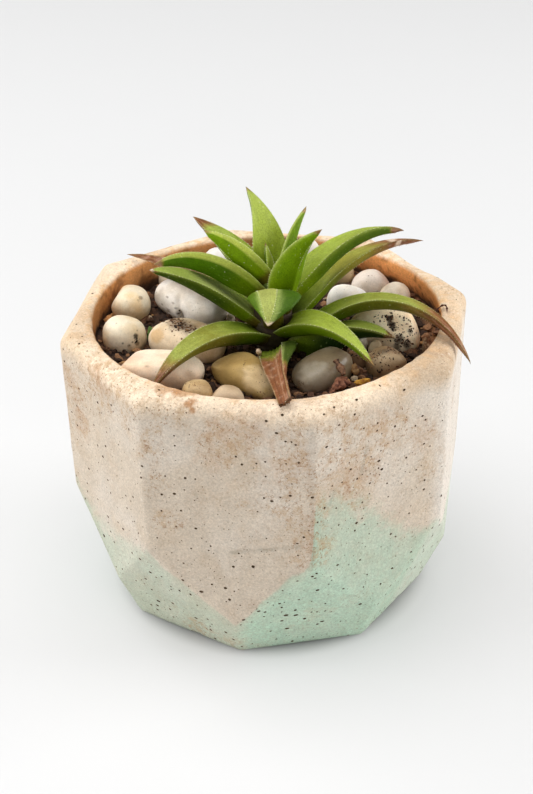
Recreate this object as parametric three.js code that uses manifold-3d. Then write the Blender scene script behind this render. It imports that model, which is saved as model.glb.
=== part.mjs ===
// A small rosette succulent with keeled, arching leaves, planted in an eight-sided
// cast-concrete pot whose soil is covered with river pebbles.
// Millimetres, +Z up. The origin is the middle of the pot's foot, on the ground;
// the front of the plant faces -Y.

import * as THREE from 'three';
import { ConvexGeometry } from 'three/addons/geometries/ConvexGeometry.js';
import { mergeVertices } from 'three/addons/utils/BufferGeometryUtils.js';
import Module from 'manifold-3d';

const wasm = await Module();
wasm.setup();

const degree = Math.PI / 180;

// ---------------------------------------------------------------- driving dimensions

const gap = 0.3;                 // left between pieces that touch

// pot
const sides = 8;
const potHeight = 72;
const rimCornerRadius = 50;      // so 100 over opposite corners of the rim
const footCornerRadius = 47.8;   // where the upright corners would meet the ground
const frontCornerTurn = -78.9;   // heading of the corner nearest the front, degrees
const bevelFootReach = 35.9;     // how far each under-corner bevel stands out at the ground
const bevelSlope = 0.414;        // how fast a bevel leans out on its way up
const edgeRound = 2.2;           // soft edges of the casting
const mouth = { x: 0.9, y: 0.75, radius: 42.5, lip: 1.2 };
const mouthSegments = 56;
const cavityFloor = 9;
const cavityFootRadius = 33;
const cavityCorner = 46;         // height where the tapering floor part meets the upright wall

// soil
const soilLevel = 65;
const soilBump = 0.42;            // height of the soil's broad unevenness
const soilRings = 6;
const soilSectors = 32;
const backBank = { x: 4, y: 42, height: 3.4, spread: 13 };
const rightBank = { x: 43, y: 6, height: 2.6, spread: 9 };

// plant
const crown = { x: 1.5, y: -3.0 };
const stemFoot = 50;
const stemTop = 84.5;
const stemRootRadius = 3.2;
const stemRadius = 4.2;
const stemTopRadius = 2.0;
const sheath = 3.2;              // length of leaf base that runs back to the stem
const leafStations = 12;
const channelDepth = 0.12;       // hollow of a leaf's upper face, share of its thickness
const leafBaseShare = 0.74;      // width of a leaf where it leaves the stem, share of its widest
const widestAt = 0.24;           // share of the length
const taperPower = 1.7;
const bendPower = 1.2;

// Each leaf leaves the stem at `height` and `out` from its axis, heading `heading`
// degrees round from +X, climbing at `rise` degrees. Towards its tip it has bent down
// by `droop` and turned sideways by `sweep`. `roll` and `twist` tip its upper face
// over; `tipShare` is the width left at a broken tip.
const leafGreen = 0x5f8f2a;
const leaves = [
  { name: 'leaf_front_beak', heading: -92, rise: 78, droop: 142, sweep: -4, length: 23.5,
    width: 11.8, thick: 4.2, roll: -4, twist: -4, height: 75.2, out: 3.4 },
  { name: 'leaf_front_right', heading: -47, rise: 42, droop: 88, sweep: -2, length: 35,
    width: 9.2, thick: 4.8, roll: -18, twist: 38, height: 70.5, out: 2 },
  { name: 'leaf_front_left', heading: 223, rise: 32, droop: 74, sweep: 8, length: 40,
    width: 8.2, thick: 4.6, roll: 4, twist: -15, height: 69.8, out: 3.6 },
  { name: 'leaf_inner_right', heading: -43, rise: 82, droop: 51, sweep: 1, length: 25,
    width: 8.9, thick: 4, roll: 17, twist: 6, height: 78.4, out: 2.7 },
  { name: 'leaf_inner_left', heading: 168, rise: 47, droop: 33, sweep: 7, length: 18.3,
    width: 8.2, thick: 4.6, roll: -30, twist: -16, height: 84.2, out: 0.8 },
  { name: 'leaf_tall_back', heading: 98, rise: 76, droop: 40, sweep: 41, length: 21,
    width: 9.8, thick: 3.2, roll: -19, twist: 2, height: 83.6, out: 2 },
  { name: 'leaf_bud', heading: 133, rise: 80, droop: 12, sweep: 8, length: 7,
    width: 2.6, thick: 1.3, roll: -8, twist: -4, height: 84, out: 0.4 },
  { name: 'leaf_narrow_back', heading: 56, rise: 58, droop: 28, sweep: -8, length: 17,
    width: 6.6, thick: 2.6, roll: 58, twist: 12, height: 84, out: 1.6 },
  { name: 'leaf_right_high', heading: 28, rise: 49, droop: 80, sweep: 5, length: 38,
    width: 9.2, thick: 4.9, roll: 11, twist: 10, height: 77.9, out: 3.4 },
  { name: 'leaf_left_high', heading: 171, rise: 47, droop: 82, sweep: 3, length: 27.5,
    width: 8.9, thick: 4.6, roll: -27, twist: -12, height: 80, out: 2.6 },
  { name: 'leaf_left_upper_back', heading: 140, rise: 45, droop: 29, sweep: 9, length: 24.6,
    width: 8.5, thick: 4, roll: 11, twist: -6, height: 79.7, out: 2.6 },
  { name: 'leaf_left_low', heading: 178, rise: 45, droop: 29, sweep: 46, length: 32,
    width: 8.7, thick: 4, roll: -8, twist: 21, height: 72.8, out: 3.9 },
  { name: 'leaf_right_mid', heading: 42, rise: 41, droop: 63, sweep: -13, length: 45,
    width: 8.4, thick: 3.4, roll: 20, twist: -7, height: 69.8, out: 5.4, colour: 0x7d8a3a },
  { name: 'leaf_right_long', heading: 3, rise: 52, droop: 111, sweep: -52, length: 53,
    width: 9.4, thick: 3.5, roll: -3, twist: 33, height: 66, out: 5.3 },
  { name: 'leaf_right_low', heading: -20, rise: 46, droop: 84, sweep: 13, length: 26.5,
    width: 8.2, thick: 5.4, roll: 40, twist: -50, height: 66.4, out: 5.7 },
  { name: 'leaf_front_over_rim', heading: -94, rise: 28.5, droop: 40, sweep: 14, length: 41,
    width: 7.8, thick: 3.2, roll: -22, twist: -17, height: 66.4, out: 4.2, tipShare: 0.32,
    colour: 0x8c6a4c },
  { name: 'leaf_dry_left', heading: 144, rise: 23, droop: 39.5, sweep: -12.6, length: 46.4,
    width: 8.6, thick: 2.4, roll: 8, twist: 8, height: 70.1, out: 4.3, colour: 0x8a6446 },
  { name: 'leaf_back_right', heading: 78, rise: 38, droop: 52, sweep: 0, length: 26,
    width: 9, thick: 4.2, roll: 0, twist: 0, height: 73, out: 4 },
  { name: 'leaf_back_left', heading: 112, rise: 30, droop: 50, sweep: 6, length: 28,
    width: 9, thick: 4.2, roll: 0, twist: 0, height: 69.5, out: 4.2 },
];

// Pebbles: middle (x, y, z), half sizes (a along `turn` degrees round from +X, b across,
// c upright), `tilt` lifts the far end of a, `egg` makes that end the fuller one.
const pebbles = [
  { name: 'pebble_cream_egg', x: -33.6, y: 14.8, z: 67.8, a: 5.8, b: 5, c: 4.5, turn: 60,
    egg: -0.16, colour: 0xe2d6b4 },
  { name: 'pebble_cream_spotted', x: -34, y: -0.6, z: 68, a: 5.3, b: 4.9, c: 4.8, turn: 20,
    egg: 0.05, colour: 0xddd2b0 },
  { name: 'pebble_white_cleft', x: -18.7, y: 14.6, z: 68.2, a: 10.7, b: 6.2, c: 5.2,
    turn: -42, egg: 0.1, colour: 0xdedad2 },
  { name: 'pebble_cream_dusty', x: -19.2, y: -6.6, z: 67.8, a: 9.6, b: 5.7, c: 5.2,
    turn: -28, egg: -0.05, colour: 0xcdb592 },
  { name: 'pebble_pink', x: -23.9, y: -20.6, z: 67.6, a: 9.8, b: 5.4, c: 5.2, turn: -8,
    egg: -0.06, colour: 0xe6cdb8 },
  { name: 'pebble_yellow', x: -5.5, y: -22.3, z: 66.5, a: 9.7, b: 5.5, c: 4.6, turn: -42,
    egg: -0.05, colour: 0xc9b377, tilt: -8 },
  { name: 'pebble_front_grey', x: -15.8, y: -31.6, z: 66.6, a: 4.2, b: 3.6, c: 3.8, turn: 10,
    egg: 0, colour: 0xc4b48e },
  { name: 'pebble_front_buff', x: -7.4, y: -33.4, z: 66.4, a: 4.1, b: 3.3, c: 3.6, turn: 10,
    egg: 0, colour: 0xc9b894 },
  { name: 'pebble_clear_grey', x: 12.3, y: -21.8, z: 67.3, a: 7.9, b: 4.8, c: 4.8, turn: 42,
    egg: 0.04, colour: 0xb9b2a0 },
  { name: 'pebble_grey_speckled', x: 27.3, y: -18.6, z: 67.1, a: 5, b: 4.2, c: 4.3, turn: 15,
    egg: 0, colour: 0xbfb296 },
  { name: 'pebble_brown_dirty', x: 20.6, y: -14.8, z: 66.8, a: 2.5, b: 2.5, c: 3.5, turn: 0,
    egg: 0, colour: 0x6d5741 },
  { name: 'pebble_large_speckled', x: 28.8, y: -2.8, z: 68.4, a: 9, b: 5.2, c: 5.8,
    turn: -18, egg: 0.12, colour: 0xd0c4ac },
  { name: 'pebble_white_small', x: 21.6, y: -7.8, z: 67, a: 1.9, b: 1.6, c: 2.6, turn: 0,
    egg: 0, colour: 0xd9d3c8 },
  { name: 'pebble_buff_small', x: 25.3, y: -9.8, z: 66.5, a: 1.6, b: 1.2, c: 2.5, turn: 0,
    egg: 0, colour: 0xc6b596 },
  { name: 'pebble_white_right', x: 20.1, y: 15.8, z: 66.6, a: 5.6, b: 4.2, c: 4.5,
    turn: -10, egg: -0.08, colour: 0xdbd7d0 },
  { name: 'pebble_white_far_right', x: 26.6, y: 25.6, z: 66.4, a: 5.2, b: 3.9, c: 4.4,
    turn: -5, egg: -0.04, colour: 0xdcd5c8 },
  { name: 'pebble_buff_far_right', x: 34.2, y: 18.4, z: 66.4, a: 4.1, b: 3.6, c: 4,
    turn: -15, egg: 0, colour: 0xd2c6b0 },
  { name: 'pebble_tan_far', x: 17.6, y: 29.4, z: 66.4, a: 3, b: 3.4, c: 3.8, turn: 0,
    egg: 0, colour: 0xb39a74 },
  { name: 'pebble_white_back_left', x: -12, y: 34.2, z: 69, a: 4.4, b: 3.6, c: 4.2, turn: 0,
    egg: 0, colour: 0xe0ddd6 },
  { name: 'pebble_white_back_right', x: 10.4, y: 36, z: 70.2, a: 4, b: 3.6, c: 4.4, turn: 0,
    egg: 0, colour: 0xe0ddd6 },
  { name: 'pebble_back_middle', x: -1.4, y: 31, z: 67.6, a: 5, b: 3.8, c: 4, turn: 24,
    egg: 0, colour: 0xd8ccb2 },
  { name: 'pebble_back_inner', x: -6.5, y: 21.5, z: 67.4, a: 4.6, b: 3.6, c: 3.8, turn: -20,
    egg: 0, colour: 0xcfc3a8 },
  { name: 'pebble_back_grey', x: -23, y: 28.6, z: 67.4, a: 4.8, b: 3.9, c: 4, turn: 40,
    egg: 0, colour: 0xc8bda6 },
];
const pebbleDetail = 2;          // subdivisions of the twenty-sided start shape
const smallPebble = 4.5;         // a pebble with a shorter half length than this is plainer
const scrapDetail = 1;
const dentDetail = 1;            // a dent in the soil is coarser than its stone,
const dentSlack = 0.25;          // so it is this much wider
// a stone's surface swells in broad waves, by these shares of its size
const sideSwell = 0.035;
const uprightSwell = 0.03;
const swellTurn = 2.399;         // radians that the waves shift from one stone to the next

// Small scraps on the soil: bark, grit and a cut piece of leaf, as pebbles of odd shape.
const scraps = [
  { name: 'grit_tan', x: 20.6, y: -20.2, z: 66.6, a: 1.4, b: 1.2, c: 1.7, turn: 20,
    egg: 0.1, colour: 0xb08c5e },
  { name: 'grit_white', x: -9, y: 8.2, z: 66.2, a: 1.2, b: 1.2, c: 1.6, turn: 0,
    egg: 0, colour: 0xcfc2ae },
  { name: 'bark_chip_right', x: 37.2, y: -8.4, z: 66.6, a: 1.2, b: 1.4, c: 2.2, turn: 10,
    egg: 0, colour: 0xa58765 },
  { name: 'grit_orange', x: -38.6, y: 8.6, z: 66.2, a: 1.6, b: 1.5, c: 1.8, turn: 30,
    egg: 0, colour: 0xb07a44 },
  { name: 'bark_chunk_red', x: 17.4, y: -27.8, z: 66.6, a: 3.3, b: 1.8, c: 2.2, turn: 28,
    egg: 0.2, colour: 0x7e4a32 },
  { name: 'bark_flake_yellow', x: 22.6, y: -25.6, z: 65.9, a: 2.1, b: 1.1, c: 1.3, turn: 26,
    egg: 0.1, colour: 0xb98a34 },
  { name: 'leaf_scrap_green', x: -27.6, y: 1.6, z: 66.4, a: 0.9, b: 1.6, c: 2.1, turn: -10,
    egg: 0, colour: 0x5f7d3c },
];
const twig = { x: 16.8, y: -26.2, z: 71.1, length: 4.6, radius: 0.75, heading: -62, dip: -30 };

// ---------------------------------------------------------------- solids and meshes

const part = new THREE.Group();

function toSolid(geometry) {
  const bare = geometry.index ? geometry.toNonIndexed() : geometry.clone();
  for (const key of Object.keys(bare.attributes)) {
    if (key !== 'position') bare.deleteAttribute(key);
  }
  const merged = mergeVertices(bare, 1e-4);
  return new wasm.Manifold(new wasm.Mesh({
    numProp: 3,
    vertProperties: new Float32Array(merged.attributes.position.array),
    triVerts: new Uint32Array(merged.index.array),
  }));
}

function toGeometry(solid) {
  const mesh = solid.getMesh();
  const geometry = new THREE.BufferGeometry();
  geometry.setAttribute('position', new THREE.BufferAttribute(mesh.vertProperties, 3));
  geometry.setIndex(new THREE.BufferAttribute(mesh.triVerts, 1));
  geometry.computeVertexNormals();
  return geometry;
}

function add(name, solid, colour, roughness) {
  const material = new THREE.MeshStandardMaterial({ color: colour, roughness, metalness: 0 });
  const mesh = new THREE.Mesh(toGeometry(solid), material);
  mesh.name = name;
  part.add(mesh);
}

// A closed skin through rings of points, each ring the same length, with a point
// before the first ring and one after the last.
function skin(first, rings, last) {
  const points = [first, ...rings.flat(), last];
  const count = rings[0].length;
  const end = points.length - 1;
  const index = [];
  for (let k = 0; k < count; k += 1) {
    const next = (k + 1) % count;
    index.push(0, 1 + next, 1 + k);
    for (let ring = 0; ring < rings.length - 1; ring += 1) {
      const here = 1 + ring * count;
      const there = here + count;
      index.push(here + k, here + next, there + k);
      index.push(there + k, here + next, there + next);
    }
    const tail = 1 + (rings.length - 1) * count;
    index.push(end, tail + k, tail + next);
  }
  const geometry = new THREE.BufferGeometry();
  const flat = points.flatMap((point) => [point.x, point.y, point.z]);
  geometry.setAttribute('position', new THREE.Float32BufferAttribute(flat, 3));
  geometry.setIndex(index);
  return toSolid(geometry);
}

// The largest body of a cut solid; crumbs left by the cut are dropped.
function largest(solid) {
  const bodies = solid.decompose();
  return bodies.reduce((best, body) => (body.volume() > best.volume() ? body : best));
}

// ---------------------------------------------------------------- pot

function atHeading(radius, heading, z) {
  const angle = heading * degree;
  return new THREE.Vector3(radius * Math.cos(angle), radius * Math.sin(angle), z);
}

function potBody() {
  const step = 360 / sides;
  const half = (step / 2) * degree;
  const wallLean = (rimCornerRadius - footCornerRadius) * Math.cos(half) / potHeight;
  const bevelInset = edgeRound * Math.hypot(1, bevelSlope);
  const wallInset = edgeRound * Math.hypot(1, wallLean);
  const wallReach = (z) => footCornerRadius * Math.cos(half) + wallLean * z - wallInset;
  const bevelReach = (z) => bevelFootReach + bevelSlope * z - bevelInset;
  const top = potHeight - edgeRound;
  // height where a bevel runs out on the upright corner, and on the middle of a side
  const cornerHeight = (wallReach(0) / Math.cos(half) - bevelReach(0))
    / (bevelSlope - wallLean / Math.cos(half));
  const sideHeight = (wallReach(0) - bevelReach(0) / Math.cos(half))
    / (bevelSlope / Math.cos(half) - wallLean);
  const up = new THREE.Vector3(0, 0, 1);
  const wallNormal = (heading) => atHeading(1, heading, -wallLean).normalize();
  const bevelNormal = (heading) => atHeading(1, heading, -bevelSlope).normalize();
  const points = [];

  function roundedCorner(place, normals) {
    const directions = [...normals];
    for (let one = 0; one < normals.length; one += 1) {
      for (let two = one + 1; two < normals.length; two += 1) {
        for (const share of [1 / 3, 2 / 3]) {
          directions.push(normals[one].clone().lerp(normals[two], share).normalize());
        }
      }
    }
    const middle = normals.reduce((sum, normal) => sum.add(normal), new THREE.Vector3());
    directions.push(middle.normalize());
    for (const direction of directions) {
      points.push(place.clone().addScaledVector(direction, edgeRound));
    }
  }

  for (let k = 0; k < sides; k += 1) {
    const corner = frontCornerTurn + k * step;
    const side = corner + step / 2;
    const walls = [wallNormal(side - step), wallNormal(side)];
    const bevels = [bevelNormal(corner), bevelNormal(corner + step)];
    const rimRadius = wallReach(top) / Math.cos(half);
    roundedCorner(atHeading(rimRadius, corner, top), [...walls, up]);
    roundedCorner(atHeading(bevelReach(cornerHeight), corner, cornerHeight),
      [...walls, bevels[0]]);
    roundedCorner(atHeading(wallReach(sideHeight), side, sideHeight), [walls[1], ...bevels]);
    roundedCorner(atHeading(bevelReach(edgeRound) / Math.cos(half), side, edgeRound),
      [...bevels, up.clone().negate()]);
  }
  return toSolid(new ConvexGeometry(points));
}

function turned(profile, segments, x, y) {
  const geometry = new THREE.LatheGeometry(
    profile.map(([radius, z]) => new THREE.Vector2(radius, z)), segments);
  geometry.rotateX(Math.PI / 2);
  geometry.translate(x, y, 0);
  return toSolid(geometry);
}

function makePot() {
  const above = potHeight + 1;
  const profile = [
    [0, cavityFloor],
    [cavityFootRadius, cavityFloor],
    [mouth.radius, cavityCorner],
    [mouth.radius, potHeight - mouth.lip],
    [mouth.radius + 0.3 * mouth.lip, potHeight - 0.3 * mouth.lip],
    [mouth.radius + mouth.lip, potHeight],
    [mouth.radius + mouth.lip, above],
    [0, above],
  ];
  return potBody().subtract(turned(profile, mouthSegments, mouth.x, mouth.y));
}

// ---------------------------------------------------------------- stem and leaves

function makeStem(grow) {
  const profile = [
    [0, stemFoot - grow],
    [stemRootRadius * 0.5 + grow, stemFoot - grow],
    [stemRootRadius + grow, stemFoot + 3 - grow],
    [stemRadius + grow, soilLevel + 2],
    [stemRadius + grow, soilLevel + 8],
    [stemTopRadius + grow, stemTop - 1 + grow],
    [0, stemTop + grow],
  ];
  return turned(profile, 20, crown.x, crown.y);
}

// Points along the middle of a leaf's upper face, with the way across and the way up.
function leafFrames(leaf) {
  const steps = 4 * leafStations;
  const heading = (share) => (leaf.heading + leaf.sweep * share) * degree;
  const climb = (share) => (leaf.rise - leaf.droop * share ** bendPower) * degree;
  const direction = (share) => new THREE.Vector3(
    Math.cos(climb(share)) * Math.cos(heading(share)),
    Math.cos(climb(share)) * Math.sin(heading(share)),
    Math.sin(climb(share)));
  const place = atHeading(leaf.out, leaf.heading, leaf.height);
  place.x += crown.x;
  place.y += crown.y;
  const frames = [];
  const up = new THREE.Vector3(0, 0, 1);
  function keep(share, at) {
    const along = direction(share);
    const across = along.clone().cross(up).normalize();
    const above = across.clone().cross(along);
    const turn = (leaf.roll + leaf.twist * share) * degree;
    const side = across.clone().multiplyScalar(Math.cos(turn))
      .addScaledVector(above, Math.sin(turn));
    frames.push({ share, at, along, side, above: side.clone().cross(along) });
  }
  keep(0, place.clone().addScaledVector(direction(0), -sheath));
  for (let step = 0; step < steps; step += 1) {
    if (step % 4 === 0) keep(step / steps, place.clone());
    place.addScaledVector(direction((step + 0.5) / steps), leaf.length / steps);
  }
  keep(1, place.clone());
  return frames;
}

function widthShare(share, tipShare) {
  if (share < widestAt) {
    const rising = Math.sin((Math.PI / 2) * share / widestAt);
    return leafBaseShare + (1 - leafBaseShare) * rising;
  }
  const taper = 1 - ((share - widestAt) / (1 - widestAt)) ** taperPower;
  return tipShare + (1 - tipShare) * taper;
}

// A leaf is three-cornered across: a shallow channel above, a blunt keel below.
function makeLeaf(leaf, grow) {
  const tipShare = leaf.tipShare || 0;
  const frames = leafFrames(leaf);
  const tip = tipShare > 0 ? frames[frames.length - 1] : frames.pop();
  const rings = frames.map((frame) => {
    const share = widthShare(frame.share, tipShare);
    const w = (leaf.width / 2) * share;
    const t = leaf.thick * (0.15 + 0.85 * share);
    const c = channelDepth * t;
    const section = [
      [w + 2 * grow, 0.6 * grow],
      [0.72 * w + grow, -0.45 * t - grow],
      [0.28 * w + 0.5 * grow, -0.92 * t - 1.2 * grow],
      [-0.28 * w - 0.5 * grow, -0.92 * t - 1.2 * grow],
      [-0.72 * w - grow, -0.45 * t - grow],
      [-w - 2 * grow, 0.6 * grow],
      [-0.5 * w, 1.3 * grow - c],
      [0.5 * w, 1.3 * grow - c],
    ];
    return section.map(([across, up]) => frame.at.clone()
      .addScaledVector(frame.side, across)
      .addScaledVector(frame.above, up));
  });
  const root = frames[0].at.clone()
    .addScaledVector(frames[0].above, -0.4 * leaf.thick)
    .addScaledVector(frames[0].along, -grow);
  const point = tip.at.clone()
    .addScaledVector(tip.along, 3 * grow + 0.5 * tipShare)
    .addScaledVector(tip.above, -(0.08 + 0.4 * tipShare) * leaf.thick);
  return skin(root, rings, point);
}

// ---------------------------------------------------------------- pebbles and scraps

// A rounded stone: a ball whose radius swells and dips in a few broad waves.
function makePebble(pebble, number, grow, detail) {
  const geometry = new THREE.IcosahedronGeometry(1, detail);
  const position = geometry.attributes.position;
  const point = new THREE.Vector3();
  const phase = number * swellTurn;
  for (let k = 0; k < position.count; k += 1) {
    point.fromBufferAttribute(position, k);
    const sideWave = Math.sin(2.6 * point.x + phase) * Math.cos(2.2 * point.y - phase);
    const uprightWave = Math.sin(3.1 * point.z + 2 * phase);
    const swell = 1 + sideSwell * sideWave + uprightSwell * uprightWave;
    const across = 1 + pebble.egg * point.x;
    point.set(
      point.x * (pebble.a + grow) * swell,
      point.y * (pebble.b + grow) * swell * across,
      point.z * (pebble.c + grow) * swell * across);
    position.setXYZ(k, point.x, point.y, point.z);
  }
  geometry.rotateY(-(pebble.tilt || 0) * degree);
  geometry.rotateZ(pebble.turn * degree);
  geometry.translate(pebble.x, pebble.y, pebble.z);
  return toSolid(geometry);
}

function makeTwig(grow) {
  const geometry = new THREE.CylinderGeometry(
    twig.radius + grow, twig.radius * 0.9 + grow, twig.length + 2 * grow, 8);
  geometry.rotateZ(-Math.PI / 2);
  geometry.rotateY(-twig.dip * degree);
  geometry.rotateZ(twig.heading * degree);
  geometry.translate(twig.x, twig.y, twig.z);
  return toSolid(geometry);
}

// ---------------------------------------------------------------- soil

function bank(hill, x, y) {
  const away = Math.hypot(x - hill.x, y - hill.y) / hill.spread;
  return hill.height * Math.exp(-away * away);
}

function soilHeight(x, y) {
  const broad = Math.sin(0.31 * x + 1.3) * Math.cos(0.27 * y - 0.6);
  const slanting = 0.5 * Math.sin(0.71 * x - 0.4 * y);
  return soilLevel + soilBump * (broad + slanting) + bank(backBank, x, y)
    + bank(rightBank, x, y);
}

function soilBlock() {
  const ring = (radius, height) => {
    const points = [];
    for (let k = 0; k < soilSectors; k += 1) {
      const angle = (k / soilSectors) * 2 * Math.PI;
      const x = mouth.x + radius * Math.cos(angle);
      const y = mouth.y + radius * Math.sin(angle);
      points.push(new THREE.Vector3(x, y, height(x, y)));
    }
    return points;
  };
  const facetSag = mouth.radius * (1 - Math.cos(Math.PI / mouthSegments));
  const wallRadius = mouth.radius - facetSag - gap;
  const rings = [
    ring(cavityFootRadius - 2 * gap, () => cavityFloor + gap),
    ring(wallRadius, () => cavityCorner),
  ];
  for (let k = soilRings; k > 0; k -= 1) {
    rings.push(ring(wallRadius * k / soilRings, soilHeight));
  }
  const foot = new THREE.Vector3(mouth.x, mouth.y, cavityFloor + gap);
  const top = new THREE.Vector3(mouth.x, mouth.y, soilHeight(mouth.x, mouth.y));
  return skin(foot, rings, top);
}

// ---------------------------------------------------------------- assembly

add('pot', makePot(), 0xd8c8aa, 0.85);
add('stem', makeStem(0), 0x6f7a35, 0.7);

let placed = makeStem(gap);
for (const leaf of leaves) {
  add(leaf.name, largest(makeLeaf(leaf, 0).subtract(placed)), leaf.colour || leafGreen, 0.5);
  placed = placed.add(makeLeaf(leaf, gap));
}

const stones = [...pebbles, ...scraps];
stones.forEach((stone, number) => {
  const isPebble = number < pebbles.length;
  const detail = stone.a > smallPebble ? pebbleDetail : scrapDetail;
  add(stone.name, makePebble(stone, number, 0, detail), stone.colour, isPebble ? 0.55 : 0.9);
  placed = placed.add(makePebble(stone, number, gap + dentSlack, dentDetail));
});
add('twig', makeTwig(0), 0x5d3f2c, 0.9);
placed = placed.add(makeTwig(gap));

add('soil', largest(soilBlock().subtract(placed)), 0x2e231a, 1);

export default part;
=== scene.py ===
"""Looks of a small potted succulent: a rosette of keeled leaves in an eight-sided
cast-concrete pot, with potting soil and river pebbles.

Lengths are in millimetres while a piece is being built and turn into metres when it
becomes a mesh. +Z is up, the front of the plant faces -Y, and the origin is the middle
of the pot's foot, on the floor. Colours in the tables are screen values, 0 to 255.
"""
import math
import random

import bmesh
import bpy
import numpy as np
from mathutils import Matrix, Vector, noise
from mathutils.bvhtree import BVHTree


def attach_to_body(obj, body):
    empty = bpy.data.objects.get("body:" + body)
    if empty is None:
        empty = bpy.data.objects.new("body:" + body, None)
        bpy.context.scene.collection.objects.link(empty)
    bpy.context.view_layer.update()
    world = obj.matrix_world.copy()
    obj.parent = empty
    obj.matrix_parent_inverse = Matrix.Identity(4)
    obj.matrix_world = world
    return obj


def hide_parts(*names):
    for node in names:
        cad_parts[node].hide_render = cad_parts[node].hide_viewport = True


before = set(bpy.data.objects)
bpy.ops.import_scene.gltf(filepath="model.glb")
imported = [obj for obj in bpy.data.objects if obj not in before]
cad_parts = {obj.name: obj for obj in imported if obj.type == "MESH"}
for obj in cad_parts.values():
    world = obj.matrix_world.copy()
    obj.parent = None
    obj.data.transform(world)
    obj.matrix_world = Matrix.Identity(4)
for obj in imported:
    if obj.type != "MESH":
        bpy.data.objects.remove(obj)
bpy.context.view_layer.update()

MM = 0.001
scene = bpy.context.scene

# ------------------------------------------------------------------ shared dimensions

SIDES = 8
STEP = 360 / SIDES               # degrees from one side of the pot to the next
HALF_COS = math.cos(math.pi / SIDES)
POT_HEIGHT = 72.0
RIM_CORNER_RADIUS = 50.0
FOOT_CORNER_RADIUS = 47.8
WALL_LEAN = (RIM_CORNER_RADIUS - FOOT_CORNER_RADIUS) * HALF_COS / POT_HEIGHT
FRONT_CORNER_TURN = -78.9        # heading of the corner nearest the front, degrees
BEVEL_FOOT_REACH = 35.9
BEVEL_SLOPE = 0.414
EDGE_ROUND = 0.6
FOOT_ROUND = 1.5
UNEVEN_CORNER, UNEVEN_TURN = 7, -1.9     # one corner of the casting stands off the regular eight
RIM_ROUND, BACK_RIM_ROUND = 3.2, 2.2
BACK_RISE = 1.0                  # the rim of the casting is this much higher behind
LIP_LEAN = 2.0                   # how far the lip of the mouth leans inwards on the right
MOUTH, MOUTH_RADIUS, MOUTH_LIP = (0.9, 0.75), 42.5, 1.2     # its axis, x and y, and sizes
LIP_TURNS = (0.0, 0.4, 0.8, 1.2, 1.57)   # stops round the lip's rounding, radians
OUTSIDE_FROM = 43.9              # distance from the mouth's axis where the outer faces begin
CAVITY_FLOOR = 9.0
CAVITY_FOOT_RADIUS = 33.0
CAVITY_CORNER = 46.0
CAVITY_SIDES = 160
VOXEL = 0.64                     # grid of the casting's skin
SHARP_EDGE = 38                  # degrees; edges bent more than this show as edges

SOIL_LEVEL = 65.0
SOIL_BUMP = 0.42
BANKS = [(4.0, 42.0, 3.4, 13.0), (43.0, 6.0, 2.6, 9.0)]     # middle x, y, height, spread
SOIL_RING_POINTS, SOIL_RINGS = 300, 88

CROWN = (1.5, -3.0)              # the axis of the stem, x and y
STEM_FOOT, STEM_TOP, STEM_SIDES = 60, 84, 48
STEM_PROFILE = [                 # height, radius
    (60, 3.4), (67, 4.2), (70, 4.6), (74, 4.3), (78, 3.6), (82, 2.6), (84, 1.6),
]

SHEATH = 3.2                     # how far a leaf runs back into the stem
CHANNEL_DEPTH = 0.12
LEAF_BASE_SHARE = 0.74
WIDEST_AT = 0.24
TAPER_POWER = 1.7
BEND_POWER = 1.2


# ------------------------------------------------------------------ small helpers

def srgb(*screen):
    """A colour read off a screen, 0 to 255, as the linear values that shaders use."""
    def linear(value):
        value /= 255
        return value / 12.92 if value <= 0.04045 else ((value + 0.055) / 1.055) ** 2.4
    return np.array([linear(value) for value in screen])


def plain(colour, points):
    """One colour for every point, from screen values or an array of linear ones."""
    return np.tile(srgb(*colour) if isinstance(colour, tuple) else colour, (len(points), 1))


def layered(colours, *layers):
    """Colours with others laid over them in turn. A layer is a colour and its amount at each
    point. Its colour is a tuple of screen values, an array of linear ones, or a number by
    which the colours below are multiplied."""
    for colour, amount in layers:
        if isinstance(colour, tuple):
            colour = srgb(*colour)
        elif isinstance(colour, float):
            colour = colours * colour
        amount = np.clip(amount, 0, 1)[:, None]
        colours = colours * (1 - amount) + colour * amount
    return colours


def grain(points, size, seed=0, octaves=1):
    """Smooth random values, about -1 to 1, with features of that size in mm."""
    shift = np.array([17.3, 9.1, 4.7]) * seed
    total = np.zeros(len(points))
    for octave in range(octaves):
        scaled = points * (2 ** octave / size) + shift
        total += np.array([noise.noise(p) for p in scaled.tolist()]) / 2 ** octave
    return total


def waves(points, *rows):
    """The sum of grains, each given as (strength, size, seed)."""
    return sum(strength * grain(points, size, seed) for strength, size, seed in rows)


def ramp(low, high, value):
    """0 at low, 1 at high, and smooth between them; low may be the greater."""
    share = np.clip((value - low) / (high - low), 0, 1)
    return share * share * (3 - 2 * share)


def far_from(points, place, size=1):
    """The distance of points from a place, counted in a size."""
    return np.linalg.norm(points - np.array(place), axis=1) / size


def from_mouth_axis(points):
    return np.hypot(points[:, 0] - MOUTH[0], points[:, 1] - MOUTH[1])


def headings_of(points):
    return np.degrees(np.arctan2(points[:, 1], points[:, 0]))


def unit(vector):
    return np.array(vector) / np.linalg.norm(vector)


def way(heading, climb):
    """A direction from its heading round +Z and its climb, in radians."""
    return np.array([math.cos(climb) * math.cos(heading), math.cos(climb) * math.sin(heading),
                     math.sin(climb)])


def round_angles(count):
    return np.arange(count) * 2 * math.pi / count


def circle(axis, radius, z, count):
    """Points round an upright axis, with one radius or one for each point."""
    angles = round_angles(count)
    return np.column_stack([axis[0] + radius * np.cos(angles), axis[1] + radius * np.sin(angles),
                            np.full(count, float(z))])


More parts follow.
